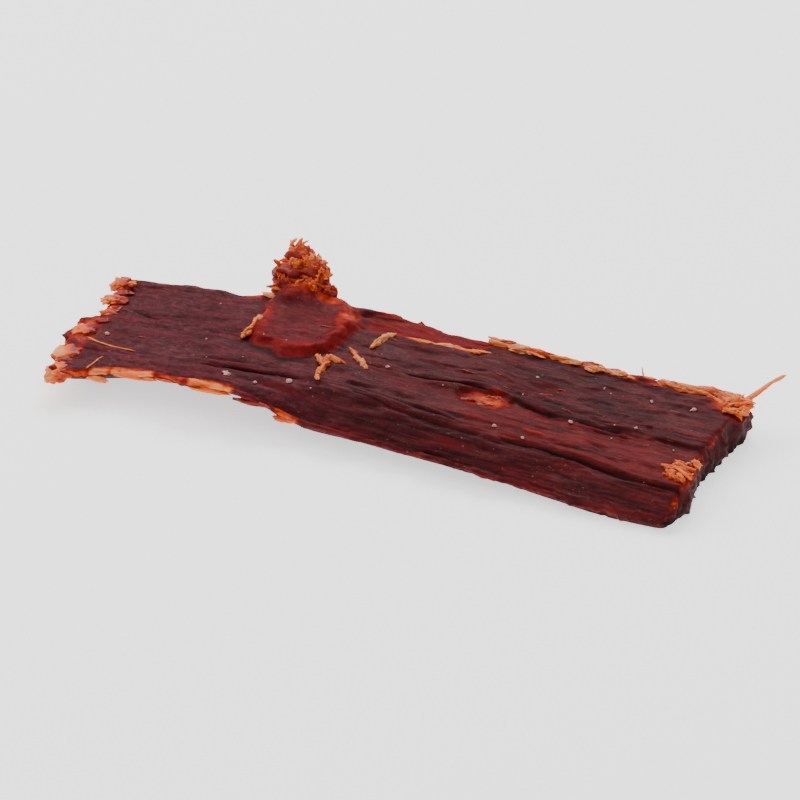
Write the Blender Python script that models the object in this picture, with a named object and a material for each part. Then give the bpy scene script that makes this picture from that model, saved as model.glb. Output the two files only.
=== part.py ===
"""A strip of dried beef, cut along the grain and torn off at both ends.

It is one solid. A cube is cut into a lattice of loops, and each of its points is moved to its place on
the strip: an arched slab with two long creases that part it into three bands of muscle fibre. The torn
tips of the fibre bundles and the shreds that stick to the top are then fused to it.

The grain runs along X, the strip's near side is at -Y, and +Z is up. The strip lies on Z = 0.
"""

import math
import random

import bmesh
import bpy
from mathutils import Euler, Vector, noise

MM = 0.001

# Loops of the lattice. The loops across are counted for the near, the middle and the far band.
LOOPS_ALONG = 56
BAND_LOOPS = (6, 8, 14)
LOOPS_THROUGH = 4
END_CROWDING = 0.5
BAND_CROWDING = 0.4

# Plan of the strip in mm: each line is a list of (x, y), and the two ends are lists of (share of width, x).
NEAR_EDGE = (
    (-46, -15.0), (-42, -15.0), (-37, -13.0), (-31, -12.2), (-24, -12.6), (-16, -13.0), (-8, -14.0),
    (4, -15.2), (16, -16.6), (28, -17.6), (40, -18.4), (52, -18.0),
)
NEAR_CREASE = (
    (-46, -8.8), (-23, -9.0), (-12, -9.4), (-2.4, -10.0), (6, -11.8), (16, -13.1), (30, -13.3), (41, -14.9),
    (52, -15.4),
)
MIDDLE_CREASE = (
    (-46, -1.0), (-10, -2.6), (4.2, -3.7), (8.7, -3.5), (13.5, -2.9), (19.1, -4.8), (25, -6.1), (31.6, -5.9),
    (40, -5.6), (47, -6.0), (52, -6.2),
)
FAR_EDGE = (
    (-46, 10.0), (-38, 9.8), (-30, 9.6), (-25, 8.7), (-22, 9.9), (-14, 9.4), (-7, 10.0), (4, 9.0),
    (14, 7.8), (24, 7.2), (34, 7.3), (44, 8.2), (52, 8.4),
)
LEFT_END = ((0.0, -44.0), (0.12, -45.2), (0.35, -45.4), (0.5, -44.6), (0.64, -42.8), (1.0, -42.2))
RIGHT_END = ((0.0, 45.2), (0.14, 46.0), (0.3, 46.9), (0.5, 46.8), (0.7, 47.9), (0.88, 49.6), (1.0, 48.6))

# Heights in mm along the strip: the top of its middle, and its underside before it is pressed flat.
CROWN = ((-46, 4.2), (-34, 5.2), (-16, 6.5), (0, 7.1), (16, 6.9), (32, 6.1), (52, 5.2))
UNDERSIDE = ((-46, -0.7), (-36, -0.1), (-20, 1.3), (0, 1.9), (18, 1.3), (34, 0.0), (52, -0.7))

# Edges: how far the top falls towards each edge and end, and over what distance.
EDGE_FALL = 0.7 * MM
EDGE_ROUND = 1.1 * MM
END_FALL = 0.6 * MM
END_ROUND = 1.1 * MM
UNDER_RISE = 0.7 * MM
WALL_BULGE = 0.35 * MM
LEAST_THICKNESS = 1.1 * MM
NEAR_RIM_LIFT = 2.8 * MM
NEAR_RIM_WIDTH = 6.0 * MM
LEFT_LIP_LIFT = 2.5 * MM
LEFT_LIP_WIDTH = 6.0 * MM

# The near band rolls down to a foot where the strip is thick, which is everywhere but at its left.
SHOULDER_START = -19 * MM
SHOULDER_FULL = -2 * MM
SHOULDER_FOOT = 1.9 * MM

# Splits that open along the creases, as (start, end, depth) in mm along the strip.
NEAR_SPLITS = ((-24, -13, 0.5), (-3.5, 18, 1.0), (19.5, 53, 1.1))
MIDDLE_SPLITS = ((2.5, 16, 0.9), (17.5, 27, 0.9), (28.5, 36, 1.0), (39, 53, 0.8))
SPLIT_FADE = 1.6 * MM
SPLIT_WIDTH = 0.6 * MM

# Each band lies a step lower than the one beyond it: from where, from where in full, and how high the step is.
NEAR_STEP = (-20 * MM, 4 * MM, 0.7 * MM)
MIDDLE_STEP = (0 * MM, 18 * MM, 0.5 * MM)
STEP_WIDTH = 0.8 * MM

# Ovals on the top in mm, as centre, half size and height. A torn leaf of meat lies on the far side, a hollow
# runs beside it under the far edge, and a small pocket has opened below the middle crease.
OVALS = (
    ((-13.9, 3.2), (7.2, 8.4), 1.0),
    ((2.4, 7.2), (10.8, 2.6), -0.8),
    ((15.4, -5.3), (4.4, 1.9), -0.7),
)

# Fibre bundles: their width, how long they keep their course, how high they stand, and how they wander.
BUNDLE_WIDTH = 2.4 * MM
BUNDLE_LENGTH = 34 * MM
BUNDLE_HEIGHT = 0.6 * MM
SWELL_HEIGHT = 0.35 * MM
SWELL_LENGTH = 17 * MM
FRAY = 1.3 * MM
FRAY_REACH = 3.0 * MM
RAG = 0.9 * MM
RAG_LENGTH = 3.4 * MM
RAG_REACH = 1.0 * MM

# Torn tips of the left end, near to far, in mm: y, how far the middle of the tip stands back from the end,
# height of its middle, and its length, width and thickness.
LEFT_TIPS = (
    (-14.3, 0.5, 3.2, 4.8, 3.8, 1.9), (-11.7, 0.4, 3.5, 3.6, 1.8, 1.3), (-9.2, 0.4, 3.5, 5.2, 3.4, 1.5),
    (-6.5, 1.0, 3.7, 3.0, 1.5, 1.2), (-4.7, 0.3, 3.7, 4.4, 2.5, 1.5), (0.9, 0.9, 4.0, 3.6, 1.5, 1.1),
    (4.4, 0.4, 4.0, 4.4, 2.8, 1.4), (7.9, 0.3, 4.1, 3.8, 3.0, 1.7),
)

# The leaf's far end turns up and leans out over the far edge: where, how wide, how high and how far out.
TAB_PLACE = -16.8 * MM
TAB_HALF_WIDTH = 3.9 * MM
TAB_RISE = 2.8 * MM
TAB_UNDER_RISE = 2.4 * MM
TAB_REACH = 1.8 * MM
TAB_START = 4.6 * MM

# Crumbly lumps along the crest of that tab, in mm: centre, size, and turns in degrees.
TAB_LUMPS = (
    ((-16.8, 11.5, 9.5), (6.8, 3.2, 5.6), (-38, 4, 6)),
    ((-18.2, 12.6, 10.9), (3.3, 2.4, 3.8), (-36, -16, -8)),
    ((-15.8, 12.4, 10.8), (3.2, 2.3, 3.2), (-40, 20, 10)),
    ((-19.3, 11.3, 8.9), (2.7, 2.2, 2.6), (-30, 30, 0)),
    ((-14.3, 11.6, 9.3), (3.4, 2.3, 2.8), (-36, 30, 18)),
)
TAB_RAGGEDNESS = 0.36
TIP_RAGGEDNESS = 0.5

# Segments round and rings from pole to pole of the small ellipsoids.
TIP_CUTS = (12, 8)
TAB_CUTS = (14, 9)
SHRED_CUTS = (8, 6)

# Tufts of the right end: the middle of each in mm, and the reach and number of its fibres.
RIGHT_TUFTS = (
    ((47.6, 7.0, 4.1), 3.6, 9),
    ((48.2, 4.9, 3.9), 3.2, 6),
    ((45.0, -12.4, 3.9), 3.0, 8),
    ((45.6, -9.0, 4.0), 2.4, 5),
    ((45.8, -2.0, 3.6), 2.2, 5),
)
TUFT_FIBRE_RADIUS = 0.42 * MM

# One loose thread stands out from the far tuft, in mm: its root, its run and its radius at both ends.
LOOSE_THREAD = ((47.8, 6.0, 4.5), (5.6, 5.8, 3.0), 0.5, 0.28)

# Shreds that stick to the top, in mm and degrees: x, y, length, turn from the grain.
SHREDS = (
    (-20.7, 0.0, 4.6, 73), (-7.9, -6.9, 5.0, 91), (-8.8, -5.0, 2.8, -42), (-7.2, -4.5, 2.6, 24),
    (-3.8, -2.9, 4.8, -40), (-2.4, 2.2, 4.6, 70), (13.9, -5.4, 4.0, 8), (16.2, -5.4, 3.8, -12),
)
LUMPS_PER_RADIUS = 3.2
SHRED_THICKNESS = 0.95 * MM
SHRED_SINK = 0.15 * MM

RANDOM_SEED = 7
NODE_NAME = "jerky_strip"


def clear_scene():
    for obj in list(bpy.data.objects):
        bpy.data.objects.remove(obj)


def in_metres(points):
    return [(x * MM, y * MM) for x, y in points]


def through(points, at):
    """The value at one place of a smooth line through (place, value) pairs, level past both ends."""
    if at <= points[0][0]:
        return points[0][1]
    if at >= points[-1][0]:
        return points[-1][1]
    i = max(k for k in range(len(points) - 1) if points[k][0] <= at)

    def slope(k):
        before = points[max(k - 1, 0)]
        after = points[min(k + 1, len(points) - 1)]
        return (after[1] - before[1]) / (after[0] - before[0])

    (x0, y0), (x1, y1) = points[i], points[i + 1]
    run = x1 - x0
    u = (at - x0) / run
    start = (1 + 2 * u) * (1 - u) ** 2 * y0 + u * (1 - u) ** 2 * run * slope(i)
    end = u * u * (3 - 2 * u) * y1 + u * u * (u - 1) * run * slope(i + 1)
    return start + end


def mix(a, b, share):
    return a + (b - a) * share


def ease(low, high, at):
    """0 below low, 1 above high, and smooth between them."""
    u = min(max((at - low) / (high - low), 0.0), 1.0)
    return u * u * (3 - 2 * u)


def round_off(distance, reach):
    """1 at an edge, falling to 0 at this reach from it, on a quarter of a circle."""
    u = min(max(distance / reach, 0.0), 1.0)
    return 1 - math.sqrt(1 - (1 - u) ** 2)


BAND_LINES = [in_metres(line) for line in (NEAR_EDGE, NEAR_CREASE, MIDDLE_CREASE, FAR_EDGE)]
END_LINES = [[(share, x * MM) for share, x in line] for line in (LEFT_END, RIGHT_END)]
CROWN_LINE = in_metres(CROWN)
UNDERSIDE_LINE = in_metres(UNDERSIDE)


def crowd(share, amount):
    """Draws the loops of a range that runs from 0 to 1 towards both of its ends."""
    return share - amount * math.sin(2 * math.pi * share) / (2 * math.pi)


def band_and_share(across):
    """Which band a place across the strip is in, from 0 near to 2 far, and its share of that band's width."""
    loop = across * sum(BAND_LOOPS)
    for band, loops in enumerate(BAND_LOOPS):
        if loop <= loops or band == len(BAND_LOOPS) - 1:
            return band, crowd(min(loop / loops, 1.0), BAND_CROWDING)
        loop -= loops


def plan_place(along, across):
    """(x, y) of a lattice loop's crossing, both of whose numbers run from 0 to 1."""
    left, right = (through(line, across) for line in END_LINES)
    x = mix(left, right, crowd(along, END_CROWDING))
    band, share = band_and_share(across)
    y = mix(through(BAND_LINES[band], x), through(BAND_LINES[band + 1], x), share)
    for line, side in ((BAND_LINES[0], -1), (BAND_LINES[3], 1)):
        ragged = noise.noise(Vector((x / RAG_LENGTH, 2.6 * side, 6.3)))
        y += side * RAG * ragged * math.exp(-abs(y - through(line, x)) / RAG_REACH)
    y += TAB_REACH * tab_share(x, y)
    left_fray = noise.noise(Vector((y / BUNDLE_WIDTH, 0.5, 3.1)))
    right_fray = noise.noise(Vector((y / BUNDLE_WIDTH, 8.5, 1.7)))
    x += FRAY * left_fray * math.exp((left - x) / FRAY_REACH)
    x += FRAY * right_fray * math.exp((x - right) / FRAY_REACH)
    return x, y


def bundle_relief(x, y, side):
    """Height of the fibre bundles: rounded backs with sharp valleys between them, wandering along the grain."""
    wander = BUNDLE_WIDTH * noise.noise(Vector((x / BUNDLE_LENGTH, y / (6 * BUNDLE_WIDTH), side + 4.2)))
    back = abs(noise.noise(Vector((x / BUNDLE_LENGTH, (y + wander) / BUNDLE_WIDTH, side))))
    swell = noise.noise(Vector((x / SWELL_LENGTH, y / SWELL_LENGTH, side + 9.0)))
    return BUNDLE_HEIGHT * (back - 0.3) + SWELL_HEIGHT * swell


def oval_patch(x, y, centre, half_size, seed):
    """1 inside an oval with a ragged outline, 0 outside it, with a steep step between."""
    away = math.hypot((x - centre[0]) / half_size[0], (y - centre[1]) / half_size[1])
    ragged = away + 0.28 * noise.noise(Vector((x / 3, y / 3, seed)))
    return 1 - ease(0.88, 1.06, ragged)


def tab_share(x, y):
    """0 away from the leaf's far end, 1 where it is turned up the most."""
    along = (x - TAB_PLACE) / TAB_HALF_WIDTH
    return math.exp(-(along**4)) * ease(TAB_START, through(BAND_LINES[3], x), y)


def crease_drop(x, y, line, splits, step):
    """How far a crease lowers the top here: by its splits, and by a step down to the band on its near side."""
    offset = y - through(line, x)
    depth = 0.0
    for start, end, split_depth in splits:
        opened = ease(start * MM, start * MM + SPLIT_FADE, x) * (1 - ease(end * MM - SPLIT_FADE, end * MM, x))
        depth += opened * split_depth * MM
    step_start, step_full, step_height = step
    step_down = step_height * ease(step_start, step_full, x) * (1 - ease(-STEP_WIDTH, STEP_WIDTH, offset))
    return depth * math.exp(-abs(offset) / SPLIT_WIDTH) + step_down


def top_height(x, y, from_ends):
    near, near_crease, _, far = (through(line, x) for line in BAND_LINES)
    shoulder = ease(SHOULDER_START, SHOULDER_FULL, x)
    height = through(CROWN_LINE, x) + bundle_relief(x, y, 0.0)
    height -= EDGE_FALL * round_off(far - y, EDGE_ROUND)
    height -= EDGE_FALL * round_off(y - near, EDGE_ROUND) * (1 - shoulder)
    height -= END_FALL * round_off(from_ends, END_ROUND)
    height -= crease_drop(x, y, BAND_LINES[1], NEAR_SPLITS, NEAR_STEP)
    height -= crease_drop(x, y, BAND_LINES[2], MIDDLE_SPLITS, MIDDLE_STEP)
    for number, (centre, half_size, oval_height) in enumerate(OVALS):
        height += oval_height * MM * oval_patch(x / MM, y / MM, centre, half_size, 3.0 * number + 2.0)
    height += TAB_RISE * tab_share(x, y)
    if y < near_crease:
        rolled = ((near_crease - y) / (near_crease - near)) ** 1.4
        height -= shoulder * rolled * (height - SHOULDER_FOOT)
    return height


def under_height(x, y, from_left, from_ends):
    near, far = (through(BAND_LINES[k], x) for k in (0, 3))
    height = through(UNDERSIDE_LINE, x) + bundle_relief(x, y, 20.0)
    height += UNDER_RISE * (round_off(far - y, EDGE_ROUND) + round_off(from_ends, END_ROUND))
    height += UNDER_RISE * round_off(y - near, EDGE_ROUND)
    thin = 1 - ease(SHOULDER_START, SHOULDER_FULL, x)
    near_lift = NEAR_RIM_LIFT * thin * round_off(y - near, NEAR_RIM_WIDTH)
    height += max(near_lift, LEFT_LIP_LIFT * round_off(from_left, LEFT_LIP_WIDTH))
    height += TAB_UNDER_RISE * tab_share(x, y)
    return max(height, 0.0)


def strip_place(corner):
    """Where a point of the unit cube's lattice lies on the strip."""
    along, across, through_share = (value + 0.5 for value in corner)
    x, y = plan_place(along, across)
    left, right = (through(line, across) for line in END_LINES)
    from_left = max(x - left, 0.0)
    from_ends = min(from_left, max(right - x, 0.0))
    low = under_height(x, y, from_left, from_ends)
    high = max(top_height(x, y, from_ends), low + LEAST_THICKNESS)
    bulge = WALL_BULGE * math.sin(math.pi * through_share)
    x += bulge * ((along == 1) - (along == 0))
    y += bulge * ((across == 1) - (across == 0))
    return Vector((x, y, mix(low, high, through_share)))


def lattice_cube():
    """A unit cube whose faces are cut by loops along each axis."""
    cube = bmesh.new()
    bmesh.ops.create_cube(cube, size=1.0)
    for axis, loops in enumerate((LOOPS_ALONG, sum(BAND_LOOPS), LOOPS_THROUGH)):
        runs = [e for e in cube.edges if abs(e.verts[0].co[axis] - e.verts[1].co[axis]) > 0.5 / loops]
        bmesh.ops.subdivide_edges(cube, edges=runs, cuts=loops - 1, use_grid_fill=True)
    return cube


def add_mesh_object(name, mesh_data, collection):
    obj = bpy.data.objects.new(name, mesh_data)
    collection.objects.link(obj)
    return obj


def make_slab(collection):
    cube = lattice_cube()
    for vertex in cube.verts:
        vertex.co = strip_place([round(value, 6) for value in vertex.co])
    bmesh.ops.recalc_face_normals(cube, faces=cube.faces)
    mesh = bpy.data.meshes.new(NODE_NAME)
    cube.to_mesh(mesh)
    cube.free()
    return add_mesh_object(NODE_NAME, mesh, collection)


def surface_height(x, y):
    """Height of the top at a place of the plan that is well inside it."""
    return top_height(x, y, END_ROUND)


def add_ellipsoid(name, place, size, turn, collection, cuts, raggedness=0.0):
    """An ellipsoid whose surface is moved in and out by this share of its radius."""
    mesh = bpy.data.meshes.new(name)
    ball = bmesh.new()
    bmesh.ops.create_uvsphere(ball, u_segments=cuts[0], v_segments=cuts[1], radius=0.5)
    for vertex in ball.verts:
        vertex.co *= 1 + raggedness * noise.noise(LUMPS_PER_RADIUS * vertex.co + Vector(place) / MM)
    ball.to_mesh(mesh)
    ball.free()
    obj = add_mesh_object(name, mesh, collection)
    obj.location = place
    obj.scale = size
    obj.rotation_euler = turn
    return obj


def add_fibre(name, root, direction, length, radius, tip_radius, collection):
    """A straight fibre with six sides, from its root along a direction."""
    mesh = bpy.data.meshes.new(name)
    cone = bmesh.new()
    bmesh.ops.create_cone(
        cone, cap_ends=True, segments=6, radius1=radius, radius2=tip_radius, depth=length
    )
    cone.to_mesh(mesh)
    cone.free()
    obj = add_mesh_object(name, mesh, collection)
    obj.location = root + direction.normalized() * (length / 2)
    obj.rotation_mode = "QUATERNION"
    obj.rotation_quaternion = direction.to_track_quat("Z", "Y")
    return obj


def make_left_tips(draw, collection):
    for number, (y, back, z, length, width, thickness) in enumerate(LEFT_TIPS):
        near, far = (through(BAND_LINES[k], -43 * MM) for k in (0, 3))
        end = through(END_LINES[0], (y * MM - near) / (far - near))
        place = Vector((end + (back + 0.4) * MM, y * MM, z * MM))
        turn = Euler((0.0, draw.uniform(-0.35, 0.1), draw.uniform(-0.3, 0.3)))
        size = (length * MM, width * MM, thickness * MM)
        add_ellipsoid("left_tip_%d" % number, place, size, turn, collection, TIP_CUTS, TIP_RAGGEDNESS)


def make_tab(collection):
    for number, (place, size, turns) in enumerate(TAB_LUMPS):
        turn = Euler([math.radians(value) for value in turns])
        place, size = Vector(place) * MM, Vector(size) * MM
        add_ellipsoid("tab_%d" % number, place, size, turn, collection, TAB_CUTS, TAB_RAGGEDNESS)


def make_right_tufts(draw, collection):
    for number, (middle, reach, count) in enumerate(RIGHT_TUFTS):
        for fibre in range(count):
            root = Vector(value * MM for value in middle)
            root += Vector((draw.uniform(-1.0, 0.0), draw.uniform(-0.9, 0.9), draw.uniform(-0.7, 0.5))) * MM
            direction = Vector((1.0, draw.uniform(-0.55, 0.55), draw.uniform(-0.25, 0.5)))
            name = "tuft_%d_%d" % (number, fibre)
            length = reach * MM * draw.uniform(0.6, 1.0)
            radius = TUFT_FIBRE_RADIUS * draw.uniform(0.8, 1.3)
            add_fibre(name, root, direction, length, radius, 0.3 * radius, collection)
    root, run, radius, tip_radius = LOOSE_THREAD
    run = Vector(run) * MM
    add_fibre("loose_thread", Vector(root) * MM, run, run.length, radius * MM, tip_radius * MM, collection)


def make_shreds(collection):
    for number, (x, y, length, turn) in enumerate(SHREDS):
        angle = math.radians(turn)
        half = Vector((math.cos(angle), math.sin(angle), 0.0)) * (length * MM / 2)
        middle = Vector((x * MM, y * MM, 0.0))
        heights = [surface_height(end.x, end.y) for end in (middle - half, middle + half)]
        lowest = min(sum(heights) / 2, surface_height(middle.x, middle.y))
        middle.z = lowest + SHRED_THICKNESS / 2 - SHRED_SINK
        slope = math.atan2(heights[1] - heights[0], length * MM)
        size = Vector((length * MM, SHRED_THICKNESS, SHRED_THICKNESS))
        turns = Euler((0.0, -slope, angle))
        add_ellipsoid("shred_%d" % number, middle, size, turns, collection, SHRED_CUTS)


def fuse(body, extras):
    """Joins a collection of small solids to the body, and removes them."""
    union = body.modifiers.new("fuse", "BOOLEAN")
    union.operation = "UNION"
    union.operand_type = "COLLECTION"
    union.collection = extras
    union.solver = "MANIFOLD"
    bpy.context.view_layer.update()
    evaluated = body.evaluated_get(bpy.context.evaluated_depsgraph_get())
    body.data = bpy.data.meshes.new_from_object(evaluated)
    body.modifiers.clear()
    for obj in list(extras.objects):
        bpy.data.objects.remove(obj)
    bpy.data.collections.remove(extras)


def stand_on_origin(body):
    """Moves the mesh so that the origin is under the middle of its box, on the surface that it lies on."""
    points = [vertex.co for vertex in body.data.vertices]
    low = [min(point[axis] for point in points) for axis in range(3)]
    high = [max(point[axis] for point in points) for axis in range(3)]
    middle = Vector(((low[0] + high[0]) / 2, (low[1] + high[1]) / 2, low[2]))
    for vertex in body.data.vertices:
        vertex.co -= middle
    print("moved by", [round(value / MM, 3) for value in middle])


def dried_beef():
    material = bpy.data.materials.new("dried_beef")
    material.use_nodes = True
    shader = material.node_tree.nodes["Principled BSDF"]
    shader.inputs["Base Color"].default_value = (0.105, 0.024, 0.022, 1.0)
    shader.inputs["Roughness"].default_value = 0.48
    shader.inputs["Metallic"].default_value = 0.0
    return material


def main():
    clear_scene()
    draw = random.Random(RANDOM_SEED)
    strip = bpy.data.collections.new("beef_jerky_strip")
    extras = bpy.data.collections.new("fused_pieces")
    for collection in (strip, extras):
        bpy.context.scene.collection.children.link(collection)
    body = make_slab(strip)
    make_left_tips(draw, extras)
    make_tab(extras)
    make_right_tufts(draw, extras)
    make_shreds(extras)
    fuse(body, extras)
    stand_on_origin(body)
    body.data.materials.clear()
    body.data.materials.append(dried_beef())
    body.data.shade_smooth()
    body.data.set_sharp_from_angle(angle=math.radians(50))


main()
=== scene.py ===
# %% [markdown]
# # A strip of beef jerky
#
# Jerky is lean beef that is cut along its grain, cured and dried until it has lost most of its weight.
# The strip here is about as long as a hand is wide. Its top is a dark mauve brown, crossed lengthwise by
# the bundles of muscle fibre. Where it was torn or is thin, light comes through it and it turns red and
# orange.

# %% Load the frame
import bisect
import math
import random

import bpy
from mathutils import Euler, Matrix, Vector, noise


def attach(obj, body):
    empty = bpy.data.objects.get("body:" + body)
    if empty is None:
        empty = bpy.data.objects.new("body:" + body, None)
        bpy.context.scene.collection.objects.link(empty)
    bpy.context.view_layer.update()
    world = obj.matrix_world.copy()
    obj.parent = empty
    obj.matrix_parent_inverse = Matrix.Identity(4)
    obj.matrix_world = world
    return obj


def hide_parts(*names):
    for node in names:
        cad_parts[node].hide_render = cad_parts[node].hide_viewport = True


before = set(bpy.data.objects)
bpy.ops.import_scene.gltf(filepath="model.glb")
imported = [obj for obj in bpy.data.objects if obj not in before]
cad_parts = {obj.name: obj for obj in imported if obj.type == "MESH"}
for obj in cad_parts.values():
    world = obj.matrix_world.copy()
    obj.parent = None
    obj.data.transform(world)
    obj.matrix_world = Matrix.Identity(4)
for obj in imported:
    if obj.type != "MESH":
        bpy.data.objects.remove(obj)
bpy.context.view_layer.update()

MM = 0.001
NODE = "jerky_strip"

# %% [markdown]
# ## Camera first
#
# The camera stands where the photographer's stood: about 35 degrees above the table, with the strip
# turned 19 degrees. A long lens from 1 m away keeps the perspective weak, as it is on so small a thing.
# The view's width is the width of a square part of the photo, 290 pixels, at the strip's scale.

# %% Camera
PHOTO_AZIMUTH = 18.9
PHOTO_ELEVATION = 35.0
PHOTO_SCALE = 2.61 / MM
VIEW_PIXELS = 290
VIEW_CENTRE_PIXEL = (195, 455)
PLAN_ORIGIN_PIXEL = (192, 453)
CAMERA_DISTANCE = 1.0
SENSOR = 36.0

# The plan below has its own origin. This is where the middle of the solid's box lies in it, in mm.
PLAN_MIDDLE = Vector((3.126, -2.392, 0.0))

turned = math.radians(PHOTO_AZIMUTH)
raised = math.radians(PHOTO_ELEVATION)
towards_camera = Vector((
    math.sin(turned) * math.cos(raised), -math.cos(turned) * math.cos(raised), math.sin(raised),
))
right_way = Vector((math.cos(turned), math.sin(turned), 0.0))
up_way = towards_camera.cross(right_way)
pixels_right = VIEW_CENTRE_PIXEL[0] - PLAN_ORIGIN_PIXEL[0]
pixels_up = PLAN_ORIGIN_PIXEL[1] - VIEW_CENTRE_PIXEL[1]
aim = right_way * (pixels_right / PHOTO_SCALE) + up_way * (pixels_up / PHOTO_SCALE) - PLAN_MIDDLE * MM


def deselect_everything():
    bpy.ops.object.select_all(action="DESELECT")


deselect_everything()
bpy.ops.object.camera_add(location=aim + towards_camera * CAMERA_DISTANCE)
camera = bpy.context.active_object
camera.name = "photo_camera"
camera.rotation_euler = (-towards_camera).to_track_quat("-Z", "Y").to_euler()
camera.data.sensor_width = SENSOR
camera.data.lens = SENSOR * CAMERA_DISTANCE / (VIEW_PIXELS / PHOTO_SCALE)
bpy.context.scene.camera = camera
print("lens in mm:", round(camera.data.lens, 1))

# %% [markdown]
# ## Light and ground
#
# The photo was taken on a white ground under large soft lights, the strongest of them behind and above,
# so that edges glow and the sides that face the camera stay dark. Three area lights and a pale world do
# the same. The ground gives off white light of its own, so that it stays a plain pale board behind so dark
# a thing.

# %% Light and ground
GROUND_SIZE = 3.0
GROUND_DEPTH = 0.02 * MM
WORLD_COLOUR = "#f4f4f6"
WORLD_STRENGTH = 0.55

# Each light's name, place, width and height in m, power in W, and colour. All of them aim at the strip.
SOFT_LIGHTS = (
    ("back_softbox", (-0.15, 0.70, 0.80), (0.8, 0.5), 11.0, "#ffffff"),
    ("left_softbox", (-0.75, 0.05, 0.65), (0.5, 0.5), 5.5, "#fff8f2"),
    ("front_fill", (0.35, -0.80, 0.90), (0.8, 0.8), 3.0, "#fdfdff"),
)


def srgb(code, alpha=1.0):
    """A colour written as a hex code, as the linear values that a shader takes."""
    values = []
    for start in (1, 3, 5):
        value = int(code[start:start + 2], 16) / 255
        values.append(value / 12.92 if value <= 0.04045 else ((value + 0.055) / 1.055) ** 2.4)
    return (*values, alpha)


def new_material(name):
    material = bpy.data.materials.new(name)
    material.use_nodes = True
    tree = material.node_tree
    return material, tree, tree.nodes["Principled BSDF"]


def feed(tree, node, pairs):
    """Gives each socket of a node its own value, or a link from another node's output."""
    for socket, value in pairs:
        if isinstance(value, bpy.types.NodeSocket):
            tree.links.new(value, node.inputs[socket])
        else:
            node.inputs[socket].default_value = value


def soft_light(name, place, size, power, code):
    deselect_everything()
    bpy.ops.object.light_add(type="AREA", location=place)
    light = bpy.context.active_object
    light.name = name
    light.data.shape = "RECTANGLE"
    light.data.size, light.data.size_y = size
    light.data.energy = power
    light.data.color = srgb(code)[:3]
    light.rotation_euler = (-Vector(place)).to_track_quat("-Z", "Y").to_euler()


for settings in SOFT_LIGHTS:
    soft_light(*settings)

world = bpy.data.worlds.new("white_studio")
world.use_nodes = True
world.node_tree.nodes["Background"].inputs["Color"].default_value = srgb(WORLD_COLOUR)
world.node_tree.nodes["Background"].inputs["Strength"].default_value = WORLD_STRENGTH
bpy.context.scene.world = world

deselect_everything()
bpy.ops.mesh.primitive_plane_add(size=GROUND_SIZE, location=(0, 0, -GROUND_DEPTH))
ground = bpy.context.active_object
ground.name = "ground"
ground_material, ground_tree, ground_shader = new_material("matt_white_board")
feed(ground_tree, ground_shader, (
    ("Base Color", srgb("#fbfbfa")), ("Roughness", 0.75),
    ("Emission Color", (1.0, 1.0, 1.0, 1.0)), ("Emission Strength", 1.0),
))
ground.data.materials.append(ground_material)

# %% [markdown]
# ## The strip's lines
#
# A slab of meat is described well by a few long lines. Four run the length of the strip: its near edge,
# two creases where bundles of muscle part, and its far edge. Two more cross it at the torn ends. Each is
# a smooth line through a few points, in mm. Between them the strip has three bands: near, middle and far.

# %% Lines in plan, in mm


def smooth_line(points):
    """A function that follows a smooth line through (place, value) pairs, level past both ends."""
    places = [place for place, _ in points]
    values = [value for _, value in points]
    last = len(points) - 1
    slopes = []
    for i in range(len(points)):
        before, after = max(i - 1, 0), min(i + 1, last)
        slopes.append((values[after] - values[before]) / (places[after] - places[before]))

    def line(at):
        if at <= places[0]:
            return values[0]
        if at >= places[last]:
            return values[last]
        i = bisect.bisect_right(places, at) - 1
        run = places[i + 1] - places[i]
        u = (at - places[i]) / run
        start = (1 + 2 * u) * (1 - u) ** 2 * values[i] + u * (1 - u) ** 2 * run * slopes[i]
        end = u * u * (3 - 2 * u) * values[i + 1] + u * u * (u - 1) * run * slopes[i + 1]
        return start + end

    return line


near_edge = smooth_line((
    (-46, -15.0), (-42, -15.0), (-37, -13.3), (-31, -12.7), (-24, -13.4), (-16, -13.8), (-8, -14.7),
    (4, -15.6), (16, -16.7), (28, -17.6), (40, -18.4), (52, -18.0),
))
near_crease = smooth_line((
    (-46, -8.8), (-23, -9.0), (-12, -9.4), (-2.4, -10.0), (6, -11.8), (16, -13.1), (30, -13.3), (41, -14.9),
    (52, -15.4),
))
middle_crease = smooth_line((
    (-46, -1.0), (-10, -2.6), (4.2, -3.7), (8.7, -3.5), (13.5, -2.9), (19.1, -4.8), (25, -6.1), (31.6, -5.9),
    (40, -5.6), (47, -6.0), (52, -6.2),
))
far_edge = smooth_line((
    (-46, 8.4), (-38, 9.3), (-30, 9.6), (-25, 8.7), (-22, 9.9), (-14, 9.4), (-7, 10.0), (4, 9.0),
    (14, 7.8), (24, 7.2), (34, 7.3), (44, 8.2), (52, 8.4),
))
left_end = smooth_line((
    (0.0, -44.0), (0.12, -45.2), (0.35, -45.4), (0.5, -44.6), (0.64, -42.8), (1.0, -42.2),
))
right_end = smooth_line((
    (0.0, 45.2), (0.14, 46.0), (0.3, 46.9), (0.5, 46.8), (0.7, 47.9), (0.88, 49.6), (1.0, 48.6),
))
crown = smooth_line(((-46, 4.2), (-34, 5.2), (-16, 6.5), (0, 7.1), (16, 6.9), (32, 6.1), (52, 5.2)))
underside = smooth_line(((-46, -0.7), (-36, -0.1), (-20, 1.3), (0, 1.9), (18, 1.3), (34, 0.0), (52, -0.7)))

BAND_LINES = (near_edge, near_crease, middle_crease, far_edge)
BAND_SHARES = (6, 8, 14)
print("width at the middle in mm:", round(far_edge(0) - near_edge(0), 1))

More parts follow.
